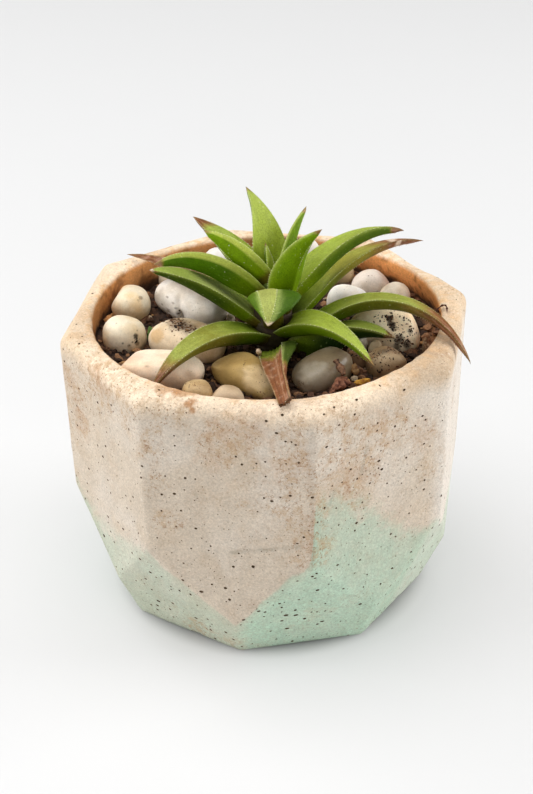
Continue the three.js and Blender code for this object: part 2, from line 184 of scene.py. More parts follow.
def turned(points, degrees, axes=(0, 1)):
    """Points turned in the plane of two axes, from the first axis towards the second."""
    cos, sin = math.cos(math.radians(degrees)), math.sin(math.radians(degrees))
    first, second = points[:, axes[0]], points[:, axes[1]]
    made = points.copy()
    made[:, axes[0]] = first * cos - second * sin
    made[:, axes[1]] = first * sin + second * cos
    return made


def rings_to_skin(rings, first, last):
    """Points and faces of a closed skin through rings, with an end point at each end."""
    count = len(rings[0])
    points = np.vstack([[first], *rings, [last]])
    faces = []
    end = len(points) - 1
    for k in range(count):
        following = (k + 1) % count
        faces.append((0, 1 + following, 1 + k))
        for ring in range(len(rings) - 1):
            here = 1 + ring * count
            there = here + count
            faces.append((here + k, here + following, there + following, there + k))
        tail = 1 + (len(rings) - 1) * count
        faces.append((end, tail + k, tail + following))
    return points, faces


def ball(subdivisions):
    """Points and faces of a unit ball made of even triangles."""
    bm = bmesh.new()
    bmesh.ops.create_icosphere(bm, subdivisions=subdivisions, radius=1)
    points = np.array([vertex.co[:] for vertex in bm.verts])
    faces = [tuple(vertex.index for vertex in face.verts) for face in bm.faces]
    bm.free()
    return points, faces


BALLS = {level: ball(level) for level in (1, 2, 4, 5)}


class Heap:
    """Many small shapes gathered for one mesh."""

    def __init__(self):
        self.points, self.faces, self.colours, self.count = [], [], [], 0

    def add(self, points, faces, colour=(0, 0, 0)):
        self.points.append(points)
        self.faces += [tuple(corner + self.count for corner in face) for face in faces]
        self.colours.append(plain(colour, points))
        self.count += len(points)


# ------------------------------------------------------------------ meshes and pieces

def placed(name, data):
    """A new object in the scene."""
    made = bpy.data.objects.new(name, data)
    scene.collection.objects.link(made)
    return made


def mesh_object(name, points, faces):
    """A new mesh in the scene, from points in mm."""
    mesh = bpy.data.meshes.new(name)
    mesh.from_pydata((np.asarray(points) * MM).tolist(), [], faces)
    return placed(name, mesh)


def attach(piece, node=None, like=None):
    """The piece rides on the one body. It stands for a CAD node, which it hides; like is not used."""
    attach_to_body(piece, "root")
    if node:
        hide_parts(node)


def make_piece(name, points, faces, colours, material, smooth=True, **standing):
    """A painted piece from points in mm."""
    piece = mesh_object(name, points, faces)
    piece.data.polygons.foreach_set("use_smooth", [smooth] * len(piece.data.polygons))
    piece.data.update()
    paint(piece.data, colours)
    piece.data.materials.append(material)
    attach(piece, **standing)
    return piece


def three_columns(items, key):
    flat = np.empty(len(items) * 3)
    items.foreach_get(key, flat)
    return flat.reshape(-1, 3)


def points_and_normals(mesh):
    return three_columns(mesh.vertices, "co") / MM, three_columns(mesh.vertex_normals, "vector")


def move_points(mesh, points):
    mesh.vertices.foreach_set("co", (points * MM).ravel())
    mesh.update()


def paint(mesh, colours, name="tint"):
    layer = mesh.color_attributes.new(name=name, type="FLOAT_COLOR", domain="POINT")
    four = np.ones((len(colours), 4))
    four[:, :3] = np.clip(colours, 0, 1)
    layer.data.foreach_set("color", four.ravel())


def store(mesh, name, values):
    """Keeps a number or a vector for each point, for the materials to read."""
    values = np.asarray(values, dtype=float)
    kind, key = ("FLOAT", "value") if values.ndim == 1 else ("FLOAT_VECTOR", "vector")
    layer = mesh.attributes.new(name=name, type=kind, domain="POINT")
    layer.data.foreach_set(key, values.ravel())


def applied(piece, *modifiers):
    """Runs modifiers, given as (type, {setting: value}), and keeps the resulting mesh."""
    for kind, settings in modifiers:
        modifier = piece.modifiers.new(kind, kind)
        for key, value in settings.items():
            setattr(modifier, key, value)
    bpy.context.view_layer.update()
    evaluated = piece.evaluated_get(bpy.context.evaluated_depsgraph_get())
    mesh = bpy.data.meshes.new_from_object(evaluated)
    piece.modifiers.clear()
    old = piece.data
    piece.data = mesh
    bpy.data.meshes.remove(old)
    return mesh


def cut_by(tool, **settings):
    return "BOOLEAN", {"operation": "DIFFERENCE", "object": tool, "solver": "MANIFOLD", **settings}


# ------------------------------------------------------------------ shader helpers

class Look:
    """A material with a Principled shader, and short ways to wire its textures."""

    def __init__(self, name, roughness, **sockets):
        self.material = bpy.data.materials.new(name)
        self.material.use_nodes = True
        self.tree = self.material.node_tree
        self.shader = self.tree.nodes["Principled BSDF"]
        self.feed(self.shader, {key.replace("_", " "): value for key, value in sockets.items()})
        self.feed(self.shader, {"Roughness": roughness})
        self.place = self.node("ShaderNodeTexCoord").outputs["Object"]

    def feed(self, node, inputs):
        """Sets inputs of a node to a number or colour, or links them to another node."""
        for key, value in inputs.items():
            if isinstance(value, bpy.types.NodeSocket):
                self.tree.links.new(value, node.inputs[key])
            elif isinstance(value, np.ndarray):
                node.inputs[key].default_value = (*value.tolist(), 1.0)
            else:
                node.inputs[key].default_value = value

    def node(self, kind, inputs=None, **settings):
        made = self.tree.nodes.new(kind)
        for key, value in settings.items():
            setattr(made, key, value)
        self.feed(made, inputs or {})
        return made

    def read(self, name, output="Color"):
        return self.node("ShaderNodeAttribute", attribute_name=name).outputs[output]

    def noise(self, size, detail=3.0, place=None, rough=0.55):
        """Smooth noise, 0 to 1, with features of that size in mm."""
        return self.node("ShaderNodeTexNoise", {
            "Vector": place or self.place, "Scale": 1 / (size * MM), "Detail": detail,
            "Roughness": rough}).outputs["Fac"]

    def cells(self, size, place=None):
        """Distance to the nearest of many scattered dots, and a random colour for each."""
        made = self.node("ShaderNodeTexVoronoi", {
            "Vector": place or self.place, "Scale": 1 / (size * MM)})
        return made.outputs["Distance"], made.outputs["Color"]

    def math(self, operation, first, second):
        return self.node("ShaderNodeMath", {0: first, 1: second}, operation=operation).outputs[0]

    def times(self, first, *others):
        for other in others:
            first = self.math("MULTIPLY", first, other)
        return first

    def ranged(self, value, low, high, to_low=0.0, to_high=1.0):
        return self.node("ShaderNodeMapRange", {
            "Value": value, "From Min": low, "From Max": high, "To Min": to_low,
            "To Max": to_high}, interpolation_type="SMOOTHSTEP").outputs["Result"]

    def mix(self, amount, first, second, blend="MIX"):
        return self.node("ShaderNodeMix", {0: amount, 6: first, 7: second}, data_type="RGBA",
                         blend_type=blend, clamp_factor=True).outputs[2]

    def shaded(self, colour, value, low, high):
        """The colour made darker or lighter by a 0 to 1 value, from low to high times."""
        scaled = self.ranged(value, 0.25, 0.75, low, high)
        combined = self.node("ShaderNodeCombineColor",
                             dict.fromkeys(("Red", "Green", "Blue"), scaled))
        return self.mix(1.0, colour, combined.outputs["Color"], blend="MULTIPLY")

    def flecks(self, size, largest, softness):
        """1 on scattered round flecks, most of them small, and 0 between them."""
        distance, random_colour = self.cells(size)
        reach = self.times(self.math("POWER", random_colour, 4.0), largest)
        return self.ranged(self.math("SUBTRACT", reach, distance), 0.0, softness)

    def bump(self, height, depth, strength, over=None):
        inputs = {"Strength": strength, "Distance": depth * MM, "Height": height}
        if over is not None:
            inputs["Normal"] = over
        return self.node("ShaderNodeBump", inputs).outputs["Normal"]

    def finish(self, colour, normal=None, roughness=None):
        sockets = {"Base Color": colour, "Normal": normal, "Roughness": roughness}
        self.feed(self.shader, {key: value for key, value in sockets.items() if value is not None})
        return self.material


# ------------------------------------------------------------------ pot

def at_heading(radius, heading, z):
    angle = math.radians(heading)
    return np.array([radius * math.cos(angle), radius * math.sin(angle), z])


def face_normal(heading, lean):
    return unit(at_heading(1, heading, -lean))


def rounded_corner(place, normals, radius, steps=5):
    """Points on the rounding of a corner where three or four faces meet."""
    points = []
    for second, third in zip(normals[1:], normals[2:]):
        for i in range(steps + 1):
            for j in range(steps + 1 - i):
                mixed = normals[0] * i + second * j + third * (steps - i - j)
                points.append(place + unit(mixed) * radius)
    return points


def pot_hull_points():
    def wall_reach(z, radius=EDGE_ROUND):
        return FOOT_CORNER_RADIUS * HALF_COS + WALL_LEAN * z - radius * math.hypot(1, WALL_LEAN)

    def bevel_reach(z, radius=EDGE_ROUND):
        return BEVEL_FOOT_REACH + BEVEL_SLOPE * z - radius * math.hypot(1, BEVEL_SLOPE)

    wall_foot = wall_reach(0)
    corner_height = (wall_foot / HALF_COS - bevel_reach(0)) / (BEVEL_SLOPE - WALL_LEAN / HALF_COS)
    side_height = (wall_foot - bevel_reach(0) / HALF_COS) / (BEVEL_SLOPE / HALF_COS - WALL_LEAN)
    up = np.array([0.0, 0.0, 1.0])
    points = []
    for k in range(SIDES):
        corner = FRONT_CORNER_TURN + k * STEP
        side = corner + STEP / 2
        before, after = (face_normal(heading, WALL_LEAN) for heading in (side - STEP, side))
        bevel, next_bevel = (face_normal(heading, BEVEL_SLOPE) for heading in (corner, corner + STEP))
        standing = corner + (UNEVEN_TURN if k == UNEVEN_CORNER else 0)
        rim_round = BACK_RIM_ROUND if math.sin(math.radians(corner)) > 0.5 else RIM_ROUND
        rim = POT_HEIGHT - rim_round
        for reach, heading, z, normals, rounding in (
                (wall_reach(rim, rim_round) / HALF_COS, standing, rim, [up, before, after], rim_round),
                (bevel_reach(corner_height), standing, corner_height, [before, after, bevel],
                 EDGE_ROUND),
                (wall_reach(side_height), side, side_height, [after, bevel, next_bevel], EDGE_ROUND),
                (bevel_reach(FOOT_ROUND, FOOT_ROUND) / HALF_COS, side, FOOT_ROUND,
                 [bevel, next_bevel, -up], FOOT_ROUND)):
            points += rounded_corner(at_heading(reach, heading, z), normals, rounding)
    return points


def face_heights(points):
    """How far each point lies outside each wall and bevel, in mm; negative inside."""
    columns = []
    for k in range(SIDES):
        corner = FRONT_CORNER_TURN + k * STEP
        for heading, lean, reach in ((corner + STEP / 2, WALL_LEAN, FOOT_CORNER_RADIUS * HALF_COS),
                                     (corner, BEVEL_SLOPE, BEVEL_FOOT_REACH)):
            columns.append((points - at_heading(reach, heading, 0)) @ face_normal(heading, lean))
    return np.column_stack(columns)


# Upper border of the green-dyed concrete: (heading in degrees, height in mm). It jumps
# up along the corner nearest the front.
DYE_BORDER = [
    (-180, 29), (-167, 31), (-162, 29), (-157, 26.4), (-149, 26), (-140, 27.3), (-133, 28.8),
    (-126, 30.5), (-122, 25.6), (-115, 20.8), (-108, 16), (-101, 11.6), (-96.6, 15.6), (-93, 19.8),
    (-89, 23.8), (-85, 27.6), (-81, 29.7), (-79.2, 33), (-78.4, 48), (-74, 48.5), (-69, 47), (-64, 44),
    (-58, 40), (-52.5, 35.6), (-47, 31.8), (-42, 29.4), (-38, 29.6), (-35.7, 31.2), (-30, 27),
    (-20, 25), (-4, 25), (10, 28), (28, 32), (48, 28), (70, 31), (92, 36), (115, 30), (140, 26),
    (162, 30), (180, 29),
]
# How many mm the dye fades in over: (heading, mm).
DYE_SOFTNESS = [
    (-180, 4), (-150, 4.5), (-128, 1.6), (-101, 0.8), (-90, 1), (-80, 0.8), (-76, 5), (-64, 7),
    (-50, 5), (-40, 1.6), (-20, 1.8), (60, 3), (180, 4),
]

# Brown and rusty stains: x, y, z, radius, strength.
STAINS = [
    (-22.7, -36.7, 72, 3.4, 1), (-18.3, -38.6, 72, 2.6, 1.1), (-17.1, -43, 71, 2.1, 1.3),
    (-37.4, -27, 67.7, 3.6, 0.45), (-39.5, -24, 69.5, 2.6, 0.5), (-42.4, 0.3, 71.8, 4, 0.25),
    (-44.2, -16, 52.3, 4, 0.4), (-45.6, -12, 60, 5, 0.4), (-44, -8, 68, 3, 0.45),
    (18.9, -42.3, 53.5, 5.5, 0.32), (16.7, -43.7, 46.8, 4, 0.3), (9.2, -47.8, 36.6, 3, 0.35),
    (9.4, -47.9, 43.6, 2.4, 0.28), (25, -37, 62, 5, 0.3), (34.8, -31, 56, 4, 0.25),
    (-6, -45.5, 66, 6, 0.28), (4, -47, 57, 6.5, 0.22), (-12, -44, 60, 5, 0.25),
    (-18.7, -32.9, 4.3, 2.4, 0.5), (-12, -36.5, 3, 2, 0.15), (9, -42.2, 72, 3, 0.35),
    (38.5, -21.5, 71.5, 3.2, 0.35), (43.5, -2, 71.5, 3, 0.35), (24, 38, 71.5, 5, 0.5),
    (-30, 33, 71.5, 5, 0.5), (0, 45, 70, 6, 0.45), (44, 14, 60, 5, 0.3),
]
# Start and end of thin greyish lines; the first is also a groove.
SCRATCHES = [
    ((-8.9, -44.2, 33), (6.5, -47.4, 36.6)), ((21.6, -40.6, 58.5), (20.4, -41.4, 51.5)),
    ((14.2, -45, 50), (13.2, -45.6, 47)),
]

# Places where the skin of the concrete has worn off to a brown, gritty body: x, y, z,
# radius, strength. They follow the corners of the front and the rim above its left end.
WORN_PLACES = [
    (7.5, -47.2, 46, 7, 0.8), (7.5, -47, 56, 8, 0.7), (8.5, -47, 36, 6, 0.9), (5.5, -47.6, 66, 7, 0.6),
    (-26.5, -41, 60, 5, 0.6), (-26, -41.4, 50, 5, 0.7), (-24.5, -41.8, 40, 5, 0.7),
    (-23, -42, 70, 7, 0.8), (-10, -45.5, 62, 8, 0.45), (-3, -46.5, 50, 7, 0.4), (-32, -34, 68, 9, 0.7),
    (-40, -26, 66, 10, 0.6), (-45, -14, 62, 9, 0.6), (-46, -8, 48, 9, 0.4), (18, -42.5, 60, 9, 0.6),
    (20, -41.5, 51, 7, 0.75), (29, -36, 60, 8, 0.45), (36, -31, 50, 7, 0.4), (14, -44, 68, 7, 0.5),
    (-9, -36, 3, 6, 0.25), (-17, -33, 4, 5, 0.6), (42, -20, 60, 8, 0.4), (30, 36, 60, 14, 0.6),
    (-30, 36, 64, 14, 0.7), (2, 47, 62, 14, 0.6), (46, 12, 64, 10, 0.5),
]

PORE_COUNT = 3600
PORE_GRID = 2                    # cells in which neighbouring pores are looked for
PORE_RING = 44.2                 # pores keep this far from the mouth's axis,
LOW_PART, LOW_REACH = 40, 34     # or, below a height, only this far from the pot's own axis
FOOT_BAND, WALL_BAND = 34, 64    # heights up to which pores are large, and many
LEAST_PORE, FINE_PORE = 0.11, 0.17       # radii; those under the second are cut with fewer faces
FACING_DOWN = -0.8               # no pores where the normal points down more than this


def pot_wear(points):
    total = 0.12 + 0.25 * grain(points, 9, seed=17)
    ragged = 0.5 * grain(points, 4, seed=18)
    for *place, size, strength in WORN_PLACES + STAINS:
        total += strength * ramp(1.3, 0.2, far_from(points, place, size) + ragged)
    rim = ramp(67, 71, points[:, 2])
    return np.clip(total + 0.15 * rim, 0, 1)


def distance_to_segment(points, start, end):
    start, end = np.array(start), np.array(end)
    along = end - start
    share = np.clip(((points - start) @ along) / (along @ along), 0, 1)
    return np.linalg.norm(points - start - share[:, None] * along, axis=1)


def pore_places(points, normals, randomly):
    """Air bubbles left in the casting: place, outward normal and radius of each."""
    lower = ((points[:, 2] < LOW_PART) & (normals[:, 2] < 0.3)
             & (np.hypot(points[:, 0], points[:, 1]) > LOW_REACH))
    outside = np.flatnonzero((from_mouth_axis(points) > PORE_RING) | lower).tolist()
    pores = []
    cells = {}
    tries = 0
    while len(pores) < PORE_COUNT and tries < 4 * PORE_COUNT:
        tries += 1
        k = randomly.choice(outside)
        place, normal = points[k], normals[k]
        if normal[2] < FACING_DOWN:
            continue
        low = place[2] < FOOT_BAND
        crowding = 1.0 if low else 0.8 if place[2] < WALL_BAND else 0.5
        if randomly.random() > crowding:
            continue
        radius = LEAST_PORE + (0.34 if low else 0.22) * randomly.random() ** 3.2
        cell = tuple((place // PORE_GRID).astype(int))
        near = [pore for i in (-1, 0, 1) for j in (-1, 0, 1) for m in (-1, 0, 1)
                for pore in cells.get((cell[0] + i, cell[1] + j, cell[2] + m), [])]
        if any(np.linalg.norm(place - other[0]) < 1.5 * (radius + other[2]) + 0.2
               for other in near):
            continue
        pores.append((place, normal, radius))
        cells.setdefault(cell, []).append(pores[-1])
    return pores


def pore_cutter(pores, randomly):
    heap = Heap()
    for place, normal, radius in pores:
        points, faces = BALLS[2 if radius > FINE_PORE else 1]
        up = Vector(normal)
        level = up.cross(Vector((0, 0, 1))).normalized()
        across = up.cross(level)
        stretch = 1 + 0.6 * randomly.random() ** 3
        axes = np.array([list(level * radius * stretch), list(across * radius),
                         list(up * radius * 1.1)])
        heap.add(points @ axes + place - np.array(normal) * radius * 0.25, faces)
    return mesh_object("pore_cutter", np.vstack(heap.points), heap.faces)


def concrete_look():
    look = Look("cast_concrete", 0.86, Specular_IOR_Level=0.25)
    dyed, thin_dye_and_painted_light, worn = (look.read(name, "Fac") for name in ("dyed", "thin_dye_and_painted_light", "worn"))
    ragged = look.ranged(look.noise(3.5, 6, rough=0.7), 0.2, 0.8, -0.8, 0.8)
    inside = look.times(look.ranged(look.math("ADD", dyed, ragged), -0.7, 1.0),
                        look.ranged(dyed, 0.0, 6.0, 0.72, 1.0))
    patchy = look.ranged(look.noise(7, 4), 0.4, 0.7, 1.0, 0.84)
    strength = look.times(inside, patchy, look.math("SUBTRACT", 1.0, thin_dye_and_painted_light))
    mint = look.shaded(look.read("dye_tint"), look.noise(5, 4), 0.95, 1.04)
    colour = look.mix(strength, look.read("tint"), mint)
    colour = look.shaded(colour, look.noise(5.5, 5), 0.95, 1.05)
    colour = look.shaded(colour, look.noise(0.5, 4, rough=0.8), 0.75, 1.17)

    # brown mottling, coarse and fine, strongest where the surface is worn, and pale spots
    coarse = look.times(look.ranged(look.noise(2.6, 6, rough=0.8), 0.46, 0.62),
                        look.ranged(worn, 0.0, 0.8, 0.06, 0.62))
    fine = look.times(look.ranged(look.noise(0.9, 5, rough=0.85), 0.53, 0.62),
                      look.ranged(worn, 0.0, 0.8, 0.14, 0.8))
    pale = look.times(look.ranged(look.noise(1.3, 5, rough=0.75), 0.55, 0.68),
                      look.times(look.ranged(strength, 0.0, 1.0, 0.4, 0.12),
                                 look.ranged(worn, -0.6, -0.1)))
    dots = look.flecks(0.8, 0.3, 0.06)
    for amount, over in ((coarse, srgb(178, 144, 104)), (fine, srgb(146, 104, 66)),
                         (pale, srgb(228, 221, 210)), (look.times(dots, 0.5), srgb(118, 92, 68))):
        colour = look.mix(amount, colour, over)

    rough_bump = look.bump(look.noise(0.5, 4, rough=0.7), 0.06, 0.6)
    swell_bump = look.bump(look.noise(3, 4), 0.22, 0.4, over=rough_bump)
    return look.finish(colour, look.bump(look.math("SUBTRACT", 1.0, dots), 0.08, 0.6, over=swell_bump))


def pore_look():
    look = Look("pore_wall", 0.95, Specular_IOR_Level=0.1)
    return look.finish(look.shaded(srgb(112, 94, 74), look.noise(0.4, 2), 0.7, 1.2))


def on_outside(points):
    """1 where a point of the pot is on its outer faces, rim or foot, 0 inside the mouth."""
    near_face = np.max(face_heights(points), axis=1) > -2
    beyond = from_mouth_axis(points) > OUTSIDE_FROM
    return (beyond | (points[:, 2] < FOOT_ROUND) | near_face).astype(float)


def inner_wall_colours(points, small, medium):
    """Rusty brown on the inside of the mouth, darker towards the soil, with painted light on its right
    side.
    """
    x, _, height = points.T
    return layered(
        plain((184, 132, 80), points),
        ((138, 92, 58), ramp(-0.3, 0.5, medium + small * 0.7)),
        ((104, 68, 44), ramp(0.15, 0.6, small - 0.3 * medium) * 0.6),
        ((206, 142, 82), ramp(5, -15, x) * 0.75),
        # the right side is lighter still: its rust colour lifted as painted light against the shade
        # inside the mouth
        ((242, 166, 98), ramp(5, 25, x) * 0.85),
        ((112, 70, 38), ramp(0.25, 0.7, small + medium) * 0.55),
        ((76, 52, 38), ramp(66.9, 64.8, height + small * 1.5)))


def pot_colours(points, outside):
    radius, headings = from_mouth_axis(points), headings_of(points)
    x, y, height = points.T
    broad, medium, small = (grain(points, size, seed=seed, octaves=2)
                            for seed, size in ((1, 22), (2, 6), (3, 1.8)))
    rim = ramp(66, 71.4, height + medium * 1.2)
    lip = ramp(46.0, 43.2, radius) * ramp(69, 71.5, height)
    inner = ramp(43.1, 42.7, radius) * ramp(71.7, 70.9, height) * (1 - outside)
    colours = layered(
        plain((204, 190, 172), points),
        ((213, 203, 190), ramp(0.0, 0.6, broad) * 0.6),
        ((192, 172, 147), ramp(0.05, 0.7, medium) * 0.35),
        # paler right of the front
        ((226, 220, 212), ramp(-40, -34, headings) * ramp(20, 0, headings) * 0.6),
        # the rim is warmer, with painted shade on its right front, darker at its right and left ends,
        # and browned at the lip
        ((240, 219, 192), rim * 0.8),
        # painted shade on the right front of the rim
        ((178, 156, 130), ramp(20, 36, x) * ramp(4, -14, y) * rim * 0.85),
        ((206, 182, 152), ramp(37, 47, np.abs(x)) * rim * 0.75),
        ((222, 180, 132), lip * np.clip(0.3 + 0.9 * small, 0, 1)),
        ((196, 154, 108), ramp(0.25, 0.8, medium + 0.5 * small) * rim * 0.35),
        (inner_wall_colours(points, small, medium), inner))
    for *place, size, strength in STAINS:
        mark = ramp(1.15, 0.3, far_from(points, place, size) + 0.5 * medium + 1.1 * small)
        colours = layered(colours, ((170, 118, 68), mark * strength * 0.62))
    for start, end in SCRATCHES:
        line = ramp(0.75, 0.1, distance_to_segment(points, start, end) + 0.2 * small)
        colours = layered(colours, ((134, 130, 116), line * (0.7 + 0.5 * medium) * 0.5))
    # darker round the very foot
    return layered(colours, ((96, 84, 66), ramp(1.6, 0.5, height + small * 0.8) * 0.6))


def dye_depth(points):
    """Depth of each point below the border of the dyed concrete, in fading widths."""
    border, width = (np.interp(headings_of(points), *zip(*rows))
                     for rows in (DYE_BORDER, DYE_SOFTNESS))
    return (border - points[:, 2]) / width


def dye_thinness_and_painted_light(points):
    """The dye is paler left of the front, where cream concrete covers it, and right of the front, where
    the paler dye is painted light on the facets turning towards the lamp on the right.
    """
    headings = headings_of(points)
    left = ramp(-172, -140, headings) * ramp(-96, -104, headings)
    # right of the front the paler dye is painted light, for facets that turn towards the lamp on the
    # right
    right = ramp(-42, -34, headings) * ramp(60, 30, headings)
    return 0.06 + 0.38 * left + 0.3 * right


def cast_pot():
    """The smooth casting: the hull of its rounded corners, less the cavity."""
    hull = bmesh.new()
    for point in pot_hull_points():
        hull.verts.new(point * MM)
    result = bmesh.ops.convex_hull(hull, input=hull.verts)
    unused = [item for item in result["geom_interior"] if isinstance(item, bmesh.types.BMVert)]
    bmesh.ops.delete(hull, geom=unused, context="VERTS")
    mesh = bpy.data.meshes.new("concrete_pot")
    hull.to_mesh(mesh)
    hull.free()
    pot = placed("concrete_pot", mesh)

    above = POT_HEIGHT + 2
    profile = [(CAVITY_FOOT_RADIUS, CAVITY_FLOOR), (MOUTH_RADIUS, CAVITY_CORNER)]
    profile += [(MOUTH_RADIUS + MOUTH_LIP * (1 - math.cos(turn)),
                 POT_HEIGHT - MOUTH_LIP * (1 - math.sin(turn))) for turn in LIP_TURNS]
    profile.append((MOUTH_RADIUS + MOUTH_LIP, above))
    rings = [circle(MOUTH, radius, z, CAVITY_SIDES) for radius, z in profile]
    cavity = mesh_object("cavity", *rings_to_skin(rings, (*MOUTH, CAVITY_FLOOR), (*MOUTH, above)))
    applied(pot, cut_by(cavity), ("REMESH", {"mode": "VOXEL", "voxel_size": VOXEL * MM}),
            ("SMOOTH", {"factor": 0.5, "iterations": 2}))
    bpy.data.objects.remove(cavity)
    return pot


def roughen(mesh):
    """Moves the skin of the casting in and out: waves, lip, chips and the groove."""
    points, normals = points_and_normals(mesh)
    height = points[:, 2]
    rough = waves(points, (0.10, 16, 11), (0.05, 5, 12), (0.035, 1.6, 13))
    lip = ramp(45.0, 43.5, from_mouth_axis(points)) * ramp(69, 71.5, height)
    rough += lip * 0.16 * grain(points, 2.6, seed=14)
    rough += (1 - on_outside(points)) * 0.12 * grain(points, 3.0, seed=15)
    chipped = ramp(0.25, 0.75, grain(points, 3.2, seed=16)) * ramp(2.2, 0.8, height)
    rough -= 0.45 * chipped * (normals[:, 2] > -0.9)
    rough -= 0.14 * ramp(0.9, 0.0, distance_to_segment(points, *SCRATCHES[0]))
    rough[(normals[:, 2] < -0.95) & (height < 1)] = 0
    move_points(mesh, points + normals * rough[:, None])


def paint_pot(mesh, points):
    outside = on_outside(points)
    # the sloping face under the front corner is painted lighter: painted light that makes up for the
    # shade on its downward slope
    bevel_painted_light = ramp(-0.45, 0.0, face_heights(points)[:, 1])[:, None]
    paint(mesh, pot_colours(points, outside) * (1 + 0.1 * bevel_painted_light))
    paint(mesh, srgb(171, 196, 175) * (1 + 0.22 * bevel_painted_light), name="dye_tint")
    store(mesh, "dyed", np.where(outside > 0, dye_depth(points), -50))
    store(mesh, "worn", np.where(outside > 0, pot_wear(points), -1))
    store(mesh, "thin_dye_and_painted_light", dye_thinness_and_painted_light(points))


def warped(points):
    """Points of the pot with its rim raised behind and the lip leaning in on the right."""
    x, y, height = points.T.copy()
    points[:, 2] += BACK_RISE * ramp(-8, 22, y) * ramp(50, 70, height)
    radius = from_mouth_axis(points)
    leaning = (ramp(45.0, 43.6, radius) * ramp(64, 72, points[:, 2])
               * ramp(8, 34, x))
    points[:, :2] -= (LIP_LEAN * leaning / np.maximum(radius, 1))[:, None] * (points[:, :2] - MOUTH)
    return points


def make_pot():
    pot = cast_pot()
    roughen(pot.data)
    randomly = random.Random(7)
    cutter = pore_cutter(pore_places(*points_and_normals(pot.data), randomly), randomly)
    cutter.data.materials.append(pore_look())
    pot.data.materials.clear()
    pot.data.materials.append(concrete_look())
    mesh = applied(pot, cut_by(cutter, material_mode="TRANSFER"))
    bpy.data.objects.remove(cutter)
    mesh.polygons.foreach_set("use_smooth", [True] * len(mesh.polygons))
    mesh.set_sharp_from_angle(angle=math.radians(SHARP_EDGE))
    points, _ = points_and_normals(mesh)
    paint_pot(mesh, points)
    move_points(mesh, warped(points))
    attach(pot, "pot")


make_pot()


# ------------------------------------------------------------------ leaves and stem

LEAF_KEYS = ("heading", "rise", "droop", "sweep", "length", "width", "thick", "roll", "twist",
             "height", "out", "youth", "dry")


def grown(*numbers, **more):
    """A leaf from its numbers in the order of LEAF_KEYS, and what is peculiar to it."""
    return dict(zip(LEAF_KEYS, numbers), **more)
